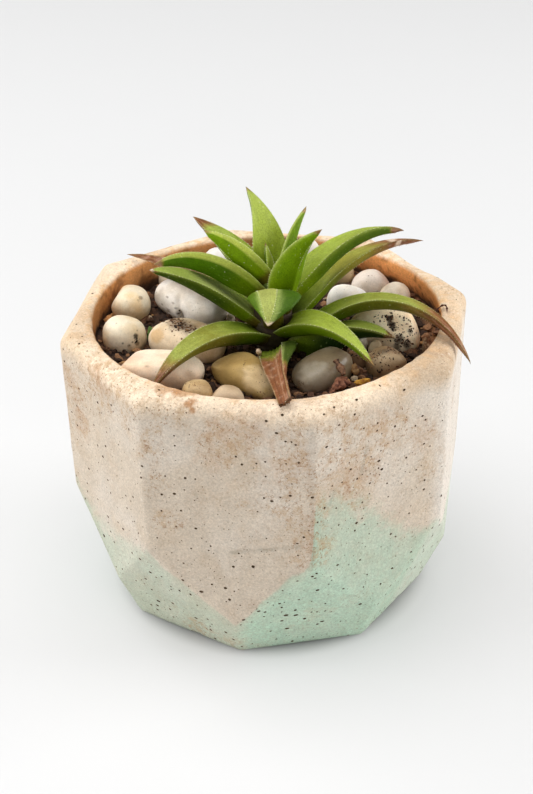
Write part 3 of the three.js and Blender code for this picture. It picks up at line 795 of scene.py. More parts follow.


# A leaf leaves the stem at `height` and `out` from its axis, heading `heading` degrees
# round from +X and climbing at `rise` degrees; towards the tip it has bent down by `droop`
# and turned by `sweep`, while `roll` and `twist` tip its upper face over. `youth` makes it
# lighter, `dry` is the share of the length where it starts to turn brown, over `fade`.
# `tip_share` leaves a blunt, broken tip, `taper` and `belly` shape its width and keel, and
# `channel` hollows its upper face. `edges` holds shares of the length with the reach of the
# left and right margin and how far each flank bulges past it. `olive` and `margin` are
# amounts of those colours, `hem` is the width of a pale band under the margins, and
# `pale_patch` the place of a dried spot. `under`, `face` up to `face_end`, and `flank`, on
# the left by `left_flank`, are colours of its faces: `face` is painted light on the upper
# face and `flank` painted shade on the flanks.
LEAVES = {
    # its pale face colour is painted light on the lit face, its dark flanks painted shade
    "front_beak": grown(
        -92, 78, 142, -4, 23.5, 11.8, 4.2, -4, -4, 75.7, 3.4, 0.7, 0.97, margin=0.4, channel=-0.7,
        pale_patch=0.96, face=(164, 164, 90), flank=(54, 82, 18), left_flank=0.6,
        edges=[(0, 1.6, 1.2, 0.8, 1.2), (0.15, 2.2, 1.2, 1.2, 2.6), (0.3, 3, 1.2, 2, 4.4),
        (0.42, 3.4, 1.2, 2.4, 5.2), (0.55, 2.9, 1.4, 2.6, 5.5), (0.68, 2.3, 1.5, 2.3, 5.1),
        (0.8, 1.6, 1.3, 1.7, 3.9), (0.9, 0.9, 0.8, 0.9, 1.9), (1, 0.05, 0.05, 0.05, 0.05)]),
    "front_right": grown(
        -47, 42, 88, -2, 35, 9.2, 4.8, -18, 38, 70.5, 2, 0.85, 0.95,
        edges=[(0, 3.4, 3.4, 0, 0), (0.12, 4.2, 4, 0, 0), (0.24, 4.6, 3.9, 0, 0), (0.4, 4.4, 3.1, 0, 0),
        (0.6, 3.5, 2, 0, 0), (0.8, 2, 1.1, 0, 0), (0.9, 1.1, 0.6, 0, 0), (1, 0.02, 0.02, 0, 0)]),
    "front_left": grown(
        223, 32, 74, 8, 40, 8.2, 4.6, 4, -15, 69.8, 3.6, 0, 0.83, olive=0.75, fade=0.12),
    "inner_right": grown(-43, 82, 51, 1, 25, 8.9, 4, 17, 6, 78.4, 2.7, 0.95, 0.95, taper=1.5),
    "inner_left": grown(168, 47, 33, 7, 18.3, 8.2, 4.6, -30, -16, 84.2, 0.8, 1, 0.97, hem=0.15),
    "tall_back": grown(98, 76, 40, 41, 21, 9.8, 3.2, -19, 2, 83.6, 2, 0.75, 0.96),
    "bud": grown(133, 80, 12, 8, 7, 2.6, 1.3, -8, -4, 84, 0.4, 0.8, 0.9),
    "narrow_back": grown(
        56, 58, 28, -8, 17, 5.2, 2.6, 58, 12, 84, 1.6, 0.8, 0.94, margin=0.7, taper=1.25),
    "right_high": grown(
        28, 49, 80, 5, 38, 9.2, 4.9, 11, 10, 77.9, 3.4, 0.6, 0.92, margin=0.2, taper=1.25,
        under=(70, 96, 2)),
    "left_high": grown(
        171, 47, 82, 3, 28.6, 9.2, 5.2, -27, -12, 80, 2.6, 0.5, 0.95, hem=0.14, under=(70, 104, 2)),
    "left_upper_back": grown(
        140, 45, 29, 9, 24.6, 8.5, 4, 11, -6, 79.7, 2.6, 0.65, 0.84, under=(84, 126, 60)),
    # the light colour of its upper face is painted light, against the shade of the leaf above it
    "left_low": grown(
        178, 45, 29, 46, 32, 9.8, 4, -8, 21, 72.8, 3.9, 0.25, 0.985, pale_patch=0.985, margin=0.12,
        face=(202, 214, 120), face_end=0.55, under=(54, 78, 2)),
    "right_mid": grown(
        42, 41, 63, -13, 45, 8.4, 3.4, 20, -7, 69.8, 5.4, 0.35, 0.68, olive=1, pale_patch=0.8,
        fade=0.09, margin=0.2),
    "right_long": grown(3, 52, 111, -52, 53, 9.4, 3.5, -3, 33, 66, 5.3, 0.2, 0.68, olive=0.55),
    # its dark under colour is painted shade, for the deep shadow between it and the stones
    "right_low": grown(
        -20, 46, 84, 13, 26.5, 8.2, 5.4, 40, -50, 66.4, 5.7, 0.7, 0.96, belly=1, under=(38, 62, 14)),
    # its dark flank is painted shade
    "front_over_rim": grown(
        -94, 28.5, 40, 14, 41, 7.8, 3.2, -22, -17, 66.4, 4.2, 0.35, 0.44, tip_share=0.32, fade=0.06,
        olive=0.5, margin=0.4, channel=1.9, flank=(46, 66, 20),
        edges=[(0, 2.7, 2.6, 0.3, 3), (0.3, 3.1, 2.7, 0.3, 3.4), (0.45, 3, 2.5, 0.2, 2.8),
        (0.62, 2.7, 2.1, 0.1, 0.6), (0.75, 2.2, 1.7, 0.1, 0.1), (0.88, 1.8, 1.6, 0.1, 0.1),
        (1, 1.5, 1.5, 0.1, 0.1)]),
    "dry_left": grown(144, 22, 39.5, -12.6, 46.4, 5.8, 2.2, 8, 8, 70.9, 4.3, 0.1, 0.43, olive=0.3),
    "back_right": grown(78, 38, 52, 0, 26, 9, 4.2, 0, 0, 73, 4, 0.4, 0.93),
    "back_left": grown(112, 30, 50, 6, 28, 9, 4.2, 0, 0, 69.5, 4.2, 0.25, 0.9),
}

# Places across a leaf, as shares of its half width: close together at the margins and
# at the keel, which carry fine pale lines.
UNDER_STOPS = [1.0, 0.985, 0.96, 0.92, 0.86, 0.78, 0.68, 0.57, 0.46, 0.35, 0.25, 0.17, 0.1, 0.05]
UPPER_STOPS = [0.985, 0.96, 0.92, 0.85, 0.75, 0.62, 0.48, 0.32, 0.16]
LEAF_STEPS = 80
TOOTH_SPACING = 0.5
SMOOTH_FOOT = 0.06               # share of the length without teeth at the foot
KEEL_TEETH_FROM = 0.45           # share of the length where the keel gets teeth
RAGGED_FROM = 0.93               # share of a broken leaf's length where its end frays

YOUNG_UPPER, OLD_UPPER = srgb(158, 174, 56), srgb(124, 140, 56)
YOUNG_UNDER, OLD_UNDER = srgb(104, 136, 2), srgb(52, 78, 2)
OLIVE, MARGIN, DARK_BROWN = (138, 124, 44), (186, 198, 112), (84, 48, 34)


def leaf_way(leaf, share):
    """The direction in which the leaf runs at a share of its length."""
    climb = math.radians(leaf["rise"] - leaf["droop"] * share ** BEND_POWER)
    return way(math.radians(leaf["heading"] + leaf["sweep"] * share), climb)


def leaf_frames(leaf):
    """Stations along the middle of the upper face: share, place, along, side, above."""
    place = at_heading(leaf["out"], leaf["heading"], leaf["height"]) + (*CROWN, 0)
    frames = []

    def keep(share, at):
        along = leaf_way(leaf, share)
        across = unit(np.cross(along, (0, 0, 1)))
        above = np.cross(across, along)
        turn = math.radians(leaf["roll"] + leaf["twist"] * share)
        side = across * math.cos(turn) + above * math.sin(turn)
        frames.append((share, at, along, side, np.cross(side, along)))

    keep(0, place - leaf_way(leaf, 0) * SHEATH)
    for step in range(LEAF_STEPS):
        keep(step / LEAF_STEPS, place)
        place = place + leaf_way(leaf, (step + 0.5) / LEAF_STEPS) * leaf["length"] / LEAF_STEPS
    keep(1, place)
    return frames


def width_share(share, tip_share, taper_power):
    if share < WIDEST_AT:
        return (LEAF_BASE_SHARE
                + (1 - LEAF_BASE_SHARE) * math.sin(math.pi / 2 * share / WIDEST_AT))
    taper = 1 - ((share - WIDEST_AT) / (1 - WIDEST_AT)) ** taper_power
    return tip_share + (1 - tip_share) * taper


def leaf_edges(leaf, share):
    """Reach of the left and right margin, how far each flank bulges past it, thickness."""
    tip_share = leaf.get("tip_share", 0)
    width = width_share(share, tip_share, leaf.get("taper", TAPER_POWER))
    half = leaf["width"] / 2 * width
    thick = leaf["thick"] * (0.15 * min(1, 12 * (1 - share) + 4 * tip_share) + 0.85 * width)
    thick *= 1 + leaf.get("belly", 0) * ramp(0.6, 0.15, share)
    if "edges" not in leaf:
        return half, half, 0.0, 0.0, thick
    shares, *columns = zip(*leaf["edges"])
    return *(float(np.interp(share, shares, column)) for column in columns), thick


def leaf_section(leaf, share):
    """(across, up, place across from -1 to 1, 1 on the upper face) round one section."""
    left, right, left_bulge, right_bulge, thick = leaf_edges(leaf, share)
    channel = CHANNEL_DEPTH * thick * leaf.get("channel", 1.15)
    dried = leaf["dry"] < 0.5
    rows = []
    for stop in UNDER_STOPS + [0.0] + [-stop for stop in reversed(UNDER_STOPS)]:
        margin, bulge = (left, left_bulge) if stop >= 0 else (right, right_bulge)
        if bulge > 0:
            body = margin + bulge
            limit = math.pi - math.asin(margin / body)
            angle = abs(stop) * limit
            across = math.copysign(body * math.sin(angle), stop)
            depth = thick * (math.cos(angle) - math.cos(limit)) / (1 - math.cos(limit))
        else:
            across = margin * stop
            depth = 0.93 * thick * (1 - abs(stop) ** 2.1)
            depth += 0.07 * thick * math.exp(-(stop / 0.13) ** 2)
        if dried:
            depth *= 1 - 0.3 * math.sin(7.5 * stop + 1.2) ** 2 * (1 - stop * stop)
        rows.append((across, -depth, stop, 0.0))
    for stop in [-stop for stop in UPPER_STOPS] + [0.0] + UPPER_STOPS[::-1]:
        lip = 0.12 * min(1, thick / 2) * math.exp(-((1 - abs(stop)) / 0.035) ** 2)
        sag = channel * (1 - stop * stop)
        if dried:
            sag += 0.12 * thick * math.sin(9 * stop) ** 2 * (1 - stop * stop)
        rows.append((stop * (left if stop >= 0 else right), lip - sag, stop, 1.0))
    return rows


def dried_colours(points, number, places, broad, small):
    """Brown with lengthwise stripes, for the dried end of a leaf."""
    stripes = np.sin(11 * places + 2 * small) * np.sin(5 * places + number)
    return layered(
        plain((126, 78, 48), points),
        ((166, 128, 104), ramp(0.0, 0.6, small + 0.4 * broad) * 0.7),
        (DARK_BROWN, ramp(0.1, 0.7, broad) * 0.5),
        (0.45, ramp(0.1, 0.7, stripes) * 0.55),
        ((196, 162, 130), ramp(0.2, 0.8, -stripes) * 0.3))


def leaf_colours(leaf, number, points, shares, places, upper, closeness):
    youth, lower, aside = leaf["youth"], 1 - upper, np.abs(places)
    broad = grain(points, 9, seed=20 + number, octaves=2)
    small = grain(points, 2.2, seed=40 + number, octaves=2)
    top = YOUNG_UPPER * youth + OLD_UPPER * (1 - youth)
    under = leaf.get("under", YOUNG_UNDER * youth + OLD_UNDER * (1 - youth))
    layers = [(top, upper), (top, lower * ramp(0.75, 0.98, aside) * 0.35),
              (OLIVE, leaf.get("olive", 0.0) * ramp(0.1, 0.5, shares) * 0.8)]
    # painted light on the upper face, up to face_end
    if "face" in leaf:
        faced = ramp(0.2, -0.2, shares - leaf.get("face_end", 2))
        layers.append((leaf["face"], upper * faced * 0.85))
    # painted shade on the flanks of the lower face
    if "flank" in leaf:
        flank = ramp(0, -0.2, places) + leaf.get("left_flank", 0) * ramp(0, 0.2, places)
        layers.append((leaf["flank"], lower * flank * 0.85))
    if "hem" in leaf:
        hem = ramp(0.98 - leaf["hem"], 1.0 - leaf["hem"], aside)
        layers.append((0.6 * top + 0.4 * srgb(206, 212, 104), lower * hem))
    layers += [
        (0.66, ramp(0.0, 0.7, broad) * 0.5),
        # painted shade darkens the lower half of each leaf, hidden among the others, and the upper face
        # fades to yellow
        (0.55, ramp(0.5, 0.1, shares) * (0.7 - 0.35 * upper)),
        ((176, 190, 96), upper * ramp(-0.1, 0.5, small - broad) * 0.2),
        # the outer half of the upper face is greyer, the foot a fuller green, brown at the stem
        ((150, 162, 84), upper * ramp(0.3, 0.8, shares) * 0.45),
        ((138, 166, 0), ramp(0.36, 0.1, shares) * 0.35),
        ((96, 58, 30), ramp(0.09, -0.02, shares + 0.03 * small) * 0.75)]
    # drying from the tip, further along the margins, with an olive border
    start = leaf["dry"]
    fade = leaf.get("fade", 0.2 * (1 - start) + 0.02)
    reach = shares + 0.05 * aside + 0.07 * broad + 0.02 * small
    dry = ramp(start - fade, start + fade, reach)
    if "edges" in leaf:
        # the bulging flank stays green longer than the face
        dry = dry * (1 - lower * ramp(0.05, -0.1, places) * ramp(0.7, 0.6, shares))
    layers += [
        (OLIVE, dry * (1 - dry) * 2),
        (dried_colours(points, number, places, broad, small), dry),
        (MARGIN, closeness * (1 - 0.7 * dry) * leaf.get("margin", 0.5)),
        (DARK_BROWN, ramp(0.975, 1.0, shares) * 0.6)]
    if "pale_patch" in leaf:
        near_patch = np.abs(shares + 0.03 * small - leaf["pale_patch"]) / 0.03
        layers.append(((222, 200, 176), ramp(1, 0.3, near_patch) * 0.8))
    return layered(plain(under, points), *layers)


def leaf_teeth(leaf, frames, randomly):
    """Small pale teeth along both margins and on the keel towards the tip."""
    heap, shares = Heap(), []
    travelled = 0.0
    next_tooth = TOOTH_SPACING
    for share, at, along, side, above in frames[1:-2]:
        travelled += leaf["length"] / LEAF_STEPS
        if travelled < next_tooth or share < SMOOTH_FOOT:
            continue
        next_tooth = travelled + TOOTH_SPACING * randomly.uniform(0.8, 1.3)
        left, right, _, _, thick = leaf_edges(leaf, share)
        feet = [(at + side * left, side), (at - side * right, -side)]
        if share > KEEL_TEETH_FROM:
            feet.append((at - above * thick, -above))
        for foot, outward in feet:
            size = randomly.uniform(0.11, 0.2) * (1 if share < 0.9 else 0.7)
            across = np.cross(along, outward)
            root = foot - outward * 0.12
            heap.add(np.array([root - along * size, root + along * size,
                               root + across * size * 0.6, root - across * size * 0.6,
                               foot + outward * size * 1.5 + along * size * 1.1]),
                     [(0, 2, 4), (2, 1, 4), (1, 3, 4), (3, 0, 4), (0, 3, 1, 2)])
            shares += [share] * 5
    return heap, np.array(shares)


def leaf_look():
    look = Look("succulent_leaf", 0.5, Specular_IOR_Level=0.09, Subsurface_Weight=0.05,
                Subsurface_Radius=(0.9, 1.2, 0.4), Subsurface_Scale=0.0012)
    lengthwise = look.read("lengthwise", "Vector")
    colour = look.shaded(look.read("tint"), look.noise(1.1, 4, place=lengthwise), 0.88, 1.1)
    colour = look.shaded(colour, look.noise(0.3, 4, rough=0.8), 0.6, 1.34)
    distance, random_colour = look.cells(0.42, place=lengthwise)
    dots = look.times(look.ranged(distance, 0.26, 0.1), look.ranged(random_colour, 0.45, 0.7), 0.2)
    colour = look.mix(dots, colour, srgb(190, 205, 130))
    far_distance, far_random = look.cells(1.7)
    dust = look.ranged(look.math("SUBTRACT", look.times(far_random, 0.12), far_distance), 0.0, 0.02)
    colour = look.mix(look.times(dust, 0.6), colour, srgb(214, 212, 180))
    skin = look.bump(look.noise(0.45, 3, place=lengthwise), 0.04, 0.5)
    normal = look.bump(look.noise(2.2, 2, place=lengthwise), 0.12, 0.35, over=skin)
    return look.finish(colour, normal, look.ranged(look.noise(3, 3), 0.3, 0.7, 0.46, 0.64))


def make_leaf(name, leaf, number, material):
    randomly = random.Random(100 + number)
    frames = leaf_frames(leaf)
    tip_share, thick = leaf.get("tip_share", 0), leaf["thick"]
    rings, sections = [], []
    last = frames[-1] if tip_share else frames.pop()
    for share, at, along, side, above in frames:
        rows = leaf_section(leaf, share)
        ring = np.array([at + side * across + above * up for across, up, _, _ in rows])
        if tip_share and share > RAGGED_FROM:
            push = np.array([randomly.uniform(-0.5, 0.25) for _ in rows])
            push *= (share - RAGGED_FROM) / (1 - RAGGED_FROM)
            ring = ring + along * push[:, None]
        rings.append(ring)
        sections.append(rows)
    foot = frames[0][1] - frames[0][4] * 0.4 * thick
    tip = last[1] - last[4] * (0.03 + 0.4 * tip_share) * thick - last[2] * 0.4 * tip_share
    points, faces = rings_to_skin(rings, foot, tip)

    def each(values, first, last):
        """One value for each point from one for each section, and those of the two ends."""
        return np.concatenate([[first], np.repeat(values, len(sections[0])), [last]])

    shares = each([frame[0] for frame in frames], 0, 1)
    half = each([max(abs(rows[0][0]), 0.01) for rows in sections], 1, 0.01)
    flat = np.array([row for rows in sections for row in rows])
    places = np.concatenate([[0], flat[:, 2], [0]])
    upper = np.concatenate([[0], flat[:, 3], [1]])
    margin = ramp(0.26, 0.05, half * (1 - np.abs(places)))
    keel = ramp(0.2, 0.03, half * np.abs(places)) * (1 - upper) * ramp(0.2, 0.5, shares)
    points[:, 2] += 0.06 * grain(points, 3.5, seed=number)
    colours = leaf_colours(leaf, number, points, shares, places, upper,
                           np.maximum(margin, keel * 0.15))
    lengthwise = np.column_stack([shares * leaf["length"] * 0.3, half * places,
                                  upper * 50 + number * 7])

    teeth, tooth_shares = leaf_teeth(leaf, frames, randomly)
    if teeth.points:
        tooth_points = np.vstack(teeth.points)
        faces += [tuple(corner + len(points) for corner in face) for face in teeth.faces]
        points = np.vstack([points, tooth_points])
        dried = ramp(leaf["dry"] - 0.1, leaf["dry"] + 0.1, tooth_shares)
        colours = np.vstack([colours, layered(plain((214, 214, 168), tooth_points),
                                              ((176, 140, 112), dried))])
        lengthwise = np.vstack([lengthwise, tooth_points])
    piece = make_piece("blade_" + name, points, faces, colours, material, node="leaf_" + name)
    store(piece.data, "lengthwise", lengthwise * MM)


def make_stem():
    heights, radii = zip(*STEM_PROFILE)
    rings = []
    angles = round_angles(STEM_SIDES)
    for z in np.linspace(STEM_FOOT, STEM_TOP, 60):
        scar = 0.22 * abs(math.sin(z * 1.9))
        wide = np.interp(z, heights, radii) + scar + 0.12 * np.sin(3 * angles + z)
        rings.append(circle(CROWN, wide, z, STEM_SIDES))
    points, faces = rings_to_skin(rings, (*CROWN, STEM_FOOT - 0.5), (*CROWN, STEM_TOP + 0.5))
    # dark brown, partly the stem's own colour and partly painted shade under the crown of leaves;
    # greener towards the top
    colours = layered(plain((58, 48, 26), points),
                      ((62, 38, 26), ramp(-0.2, 0.5, grain(points, 3, 60))),
                      ((120, 140, 60), ramp(76, 83, points[:, 2])))
    look = Look("stem_skin", 0.75)
    material = look.finish(look.shaded(look.read("tint"), look.noise(0.8, 4), 0.75, 1.2),
                           look.bump(look.noise(0.6, 4), 0.15, 0.7))
    make_piece("scarred_stem", points, faces, colours, material, node="stem")


leaf_material = leaf_look()
for number, (name, leaf) in enumerate(LEAVES.items()):
    make_leaf(name, leaf, number, leaf_material)
make_stem()


# ------------------------------------------------------------------ river pebbles

# Each stone: middle (x, y, z), half sizes (along `turn`, across, upright), turn in degrees,
# fullness of its far end, tilt, and bluntness: 2 is an ellipsoid, more is nearer to a block
# with soft edges. Then its main colour, the one of its broad patches, and how strongly it is
# flecked. The order sets how each one's surface swells.
STONES = {
    "cream_egg": (
        -33.7, 14.1, 67.8, 6.2, 4.8, 4.5, 95, -0.1, 0, 2.15, (228, 213, 186), (226, 196, 150), 0.15),
    "cream_spotted": (
        -34.4, -1.5, 66.8, 5.3, 5.1, 5.3, 20, 0.05, 0, 2.1, (236, 222, 196), (228, 202, 160), 0.15),
    "white_cleft": (
        -18.7, 14.6, 68.2, 10.7, 6.2, 5.2, -42, 0.1, 0, 2.35, (231, 223, 212), (206, 193, 175), 0.4),
    "cream_dusty": (
        -18.9, -6.7, 67.8, 9.5, 5.7, 5.2, -28, -0.05, 0, 2.3, (226, 204, 172), (196, 162, 118), 0.4),
    "pink": (
        -24.8, -20.6, 67.1, 10, 5.4, 5.1, -8, -0.06, 0, 2.5, (244, 222, 196), (238, 206, 172), 0.3),
    # the yellow stone's ochre is darkened further as painted shade, for the leaves over it
    "yellow": (
        -5.2, -22.4, 66.7, 9.4, 5, 4.4, -42, -0.05, -14, 2.5, (172, 142, 84), (144, 114, 62), 0.7),
    "front_grey": (
        -15.9, -31.3, 66.8, 3.5, 3.6, 3.9, 10, 0, 0, 2.6, (200, 171, 125), (159, 127, 86), 0.7),
    "front_buff": (
        -9.5, -33.2, 66.6, 3.9, 3.3, 3.6, 10, 0, 0, 2.7, (198, 173, 142), (178, 148, 112), 0.5),
    "clear_grey": (
        12.4, -21.8, 67, 7.4, 4.5, 4.6, 42, 0.04, 4, 3, (120, 104, 80), (156, 142, 118), 0.25),
    "grey_speckled": (
        27.1, -18.6, 67.1, 4.6, 4.2, 4.3, 15, 0, 0, 2.7, (152, 131, 100), (118, 93, 63), 1),
    "brown_dirty": (20.6, -14.8, 66.8, 2.5, 2.5, 3.5, 0, 0, 0, 2.3, (116, 88, 62), (82, 60, 44), 0.8),
    # the large speckled stone is lifted to near white, painted light against the shadow of the long
    # leaf over it
    "large_speckled": (
        28, -3, 67.9, 8.8, 5.4, 6.1, -18, 0.12, 0, 2.5, (254, 234, 200), (232, 198, 154), 1),
    "white_small": (21.6, -7.8, 67, 1.9, 1.6, 2.6, 0, 0, 0, 2.3, (226, 216, 198), (200, 182, 156), 0.4),
    "buff_small": (
        25.3, -9.8, 66.5, 1.6, 1.2, 2.5, 0, 0, 0, 2.3, (200, 178, 142), (166, 140, 104), 0.5),
    "white_right": (
        20.4, 15.8, 66.2, 5.6, 4.2, 4.5, -10, -0.08, 0, 2.3, (254, 248, 238), (246, 234, 216), 0.25),
    "white_far_right": (
        26.6, 25.6, 65.9, 5.2, 3.9, 4.4, -5, -0.04, 0, 2.3, (222, 208, 194), (207, 189, 168), 0.3),
    "buff_far_right": (
        31.9, 18, 66.4, 3.9, 3.6, 4, -15, 0, 0, 2.3, (240, 224, 202), (220, 196, 164), 0.3),
    "tan_far": (18.6, 30, 67.2, 3.7, 3.4, 3.9, 0, 0, 0, 2.3, (182, 158, 122), (150, 124, 90), 0.6),
    "white_back_left": (
        -12, 34.2, 69, 4.4, 3.6, 4.2, 0, 0, 0, 2.3, (224, 219, 212), (206, 195, 182), 0.2),
    "white_back_right": (
        10.4, 36, 70.2, 4, 3.6, 4.4, 0, 0, 0, 2.3, (224, 217, 208), (204, 193, 178), 0.2),
    "back_middle": (-1.4, 31, 67.6, 5, 3.8, 4, 24, 0, 0, 2.3, (228, 212, 182), (204, 180, 142), 0.35),
    "back_inner": (
        -6.5, 21.5, 67.4, 4.6, 3.6, 3.8, -20, 0, 0, 2.3, (216, 200, 170), (188, 166, 132), 0.4),
    "back_grey": (-23, 28.6, 67.4, 4.8, 3.9, 4, 40, 0, 0, 2.3, (206, 192, 168), (178, 160, 130), 0.5),
}
SIDE_SWELL, UPRIGHT_SWELL, SWELL_TURN = 0.035, 0.03, 2.399
LARGE_STONE = 5                  # stones with a greater half length are made of finer faces
FLAT_SOFTNESS, FLAT_SHARE = 0.35, 0.8    # how rounded a flat's edges are, how far it's pressed in

RUST, UMBER, SOOT = (190, 140, 74), (104, 76, 54), (46, 36, 30)

# Stains and dirt on single stones: x, y, z, radius in mm, colour, strength.
STONE_MARKS = {
    "cream_egg": [
        (-35.6, 9.4, 67.6, 3.4, RUST, 0.3), (-32.3, 9.8, 68.4, 2.8, RUST, 0.3),
        (-31.2, 11, 70.6, 0.5, UMBER, 0.6), (-32, 10.6, 69.8, 0.35, UMBER, 0.5)],
    "cream_spotted": [
        (-31.4, -4.8, 68.6, 0.6, SOOT, 0.9), (-31, -4.2, 69.6, 0.25, SOOT, 0.6),
        (-34.3, -5.4, 67.5, 0.3, SOOT, 0.95), (-33, -5.3, 66.9, 0.3, SOOT, 0.95),
        (-32.2, -5, 67.4, 0.25, SOOT, 0.9), (-31.6, -4.2, 66.6, 0.5, UMBER, 0.7),
        (-35.6, -3.4, 71, 0.25, UMBER, 0.6)],
    "white_cleft": [
        (-21.8, 9.3, 67.6, 0.5, SOOT, 0.9), (-20.7, 8.7, 66.6, 0.7, SOOT, 0.9),
        (-22.6, 10, 68.6, 0.35, SOOT, 0.7), (-24.1, 12.9, 70.3, 0.35, UMBER, 0.8),
        (-22.8, 10.6, 69.6, 0.35, UMBER, 0.7), (-25.6, 13.6, 68, 0.3, UMBER, 0.7),
        (-24.4, 11.4, 67.4, 0.5, UMBER, 0.6), (-15.8, 7.6, 66.8, 0.8, UMBER, 0.35),
        (-26.5, 15.6, 70.2, 1.4, UMBER, 0.18)],
    "cream_dusty": [
        (-25.9, -7.4, 69.8, 2.3, (196, 154, 92), 0.65), (-21, -6.4, 72.7, 2.6, UMBER, 0.6),
        (-18.6, -8.6, 72.3, 2.4, UMBER, 0.55), (-20, -7.6, 72.6, 1.2, SOOT, 0.5)],
    "pink": [
        (-17.7, -25.1, 68.9, 1.6, UMBER, 0.18), (-17.6, -25, 67.3, 0.5, UMBER, 0.6),
        (-23.1, -25.5, 70.1, 0.3, UMBER, 0.6), (-27.6, -24, 70.4, 0.3, UMBER, 0.5),
        (-30.6, -20.4, 70.6, 2.6, (232, 178, 152), 0.4)],
    "yellow": [
        (-8.5, -20.8, 71, 3.4, (176, 146, 92), 0.3), (-11.6, -18.4, 68.6, 2.6, UMBER, 0.15),
        (-2.6, -27.2, 68.8, 3.6, (226, 200, 156), 0.6)],
    "grey_speckled": [
        (28.6, -18.6, 71.3, 2.2, UMBER, 0.6), (26.6, -19.7, 71.1, 1.4, SOOT, 0.5),
        (23.6, -19.6, 69, 2.4, UMBER, 0.5)],
    "large_speckled": [
        (29, -5.6, 73, 0.9, SOOT, 0.9), (29.4, -6.8, 72, 0.8, SOOT, 0.85),
        (29.8, -7.6, 70.8, 0.7, SOOT, 0.9), (31, -8.5, 68.8, 1.3, SOOT, 0.85),
        (32.4, -8.6, 67.5, 1.1, SOOT, 0.85), (30.5, -8.4, 67.2, 1, SOOT, 0.8),
        (33.3, -8.1, 70.2, 0.5, SOOT, 0.7), (34.6, -6.6, 70, 3.2, UMBER, 0.16)],
    # the pale patch on the clear grey stone is a painted soft highlight
    "clear_grey": [
        (7.6, -27.6, 66.8, 2, UMBER, 0.3), (10.4, -27, 68.4, 4.6, (186, 178, 160), 0.4),
        (17, -20, 71, 2.4, UMBER, 0.35)],
}

# Worn flats of single stones: the way each one faces, and its distance from the middle
# in mm.
STONE_FLATS = {
    "cream_egg": [((-0.82, 0.2, 0.5), 4), ((0.1, 0.2, 0.97), 4.1)],
    "cream_spotted": [((0.2, 0.2, 0.95), 4.6)],
    "white_cleft": [((-0.1, -0.5, 0.85), 4.9), ((0.3, 0.4, 0.85), 4.6)],
    "cream_dusty": [((0.1, -0.2, 0.97), 4.7), ((-0.6, -0.6, 0.5), 6.6)],
    "pink": [((-0.15, 0.1, 0.98), 4.7), ((-0.75, 0.3, 0.55), 7.6)],
    "yellow": [((-0.3, 0.2, 0.93), 4.2), ((0.5, -0.6, 0.6), 5.6)],
    "front_grey": [((-0.2, 0.1, 0.97), 3.3)],
    "front_buff": [((0.3, 0.1, 0.95), 3), ((-0.7, 0.2, 0.6), 3.1)],
    "clear_grey": [((-0.1, -0.2, 0.95), 4.3)],
    "grey_speckled": [((-0.5, 0.1, 0.86), 3.9), ((0.6, 0.2, 0.75), 3.9)],
    "large_speckled": [((0.9, -0.1, 0.35), 7.2), ((0.1, -0.5, 0.86), 5.2)],
    "white_right": [((0.3, -0.2, 0.93), 4)],
    "white_far_right": [((0.75, -0.1, 0.65), 4.1), ((-0.5, 0, 0.86), 4.1)],
    "buff_far_right": [((-0.6, 0, 0.8), 3.4)],
}

# Creases: a point in the groove, the direction across it, its width, depth and how far it
# runs from the point.
STONE_CREASES = {
    "white_cleft": [
        ((-21.6, 9.2, 68.2), (0.72, -0.62, 0.3), 0.6, 1.1, 5.4),
        ((-20.9, 8.6, 66.4), (0.75, -0.6, 0.1), 0.8, 1.4, 2.4)],
    "yellow": [((-4, -27, 69.3), (0.35, 0.45, 0.8), 0.4, 0.35, 3.2)],
    "cream_egg": [
        ((-31.2, 10.9, 70.5), (0.3, 0.2, 0.9), 0.3, 0.3, 1.2),
        ((-33.4, 9.6, 69), (0.3, 0.2, 0.9), 0.3, 0.25, 1.4)],
    "cream_dusty": [((-24.1, -9.4, 70.2), (0.8, 0.1, 0.5), 0.25, 0.25, 2.4)],
    "pink": [((-18.6, -25.6, 69.4), (0.6, 0.2, 0.7), 0.9, 0.35, 2.6)],
}


def stone_shape(stone, number, unit_points):
    """Unit-ball points moved onto a stone, in mm, before its fine unevenness."""
    x, y, z, a, b, c, turn, egg, tilt, blunt = stone[:10]
    phase = number * SWELL_TURN
    ux, uy, uz = (unit_points / (np.abs(unit_points) ** blunt).sum(axis=1)[:, None] ** (1 / blunt)).T
    side_wave = np.sin(2.6 * ux + phase) * np.cos(2.2 * uy - phase)
    swell = 1 + SIDE_SWELL * side_wave + UPRIGHT_SWELL * np.sin(3.1 * uz + 2 * phase)
    across = 1 + egg * ux
    points = np.column_stack([ux * a * swell, uy * b * swell * across, uz * c * swell * across])
    return turned(turned(points, tilt, (0, 2)), turn) + (x, y, z)


def inside_stone(stone, points, slack):
    """Whether points lie inside a stone grown by slack, taken as a plain ellipsoid."""
    local = turned(np.atleast_2d(points) - stone[:3], -stone[6]) / (np.array(stone[3:6]) + slack)
    return (local ** 2).sum(axis=1) < 1


def stone_look(name, roughness, clearness):
    look = Look(name, roughness, Specular_IOR_Level=0.28, Subsurface_Weight=clearness,
                Subsurface_Radius=(1.0, 0.85, 0.6), Subsurface_Scale=0.002)
    colour = look.shaded(look.read("tint"), look.noise(2.6, 5), 0.9, 1.05)
    colour = look.shaded(colour, look.noise(0.35, 3, rough=0.7), 0.9, 1.07)
    dots = look.flecks(0.62, 0.42, 0.08)
    colour = look.mix(look.times(dots, look.read("flecked", "Fac")), colour, srgb(70, 54, 42))
    fine = look.bump(look.noise(0.3, 3, rough=0.6), 0.02, 0.5)
    normal = look.bump(look.math("SUBTRACT", 1.0, dots), 0.03, 0.5, over=fine)
    gloss = look.ranged(look.noise(4, 3), 0.3, 0.7, roughness - 0.07, roughness + 0.1)
    return look.finish(colour, normal, gloss)


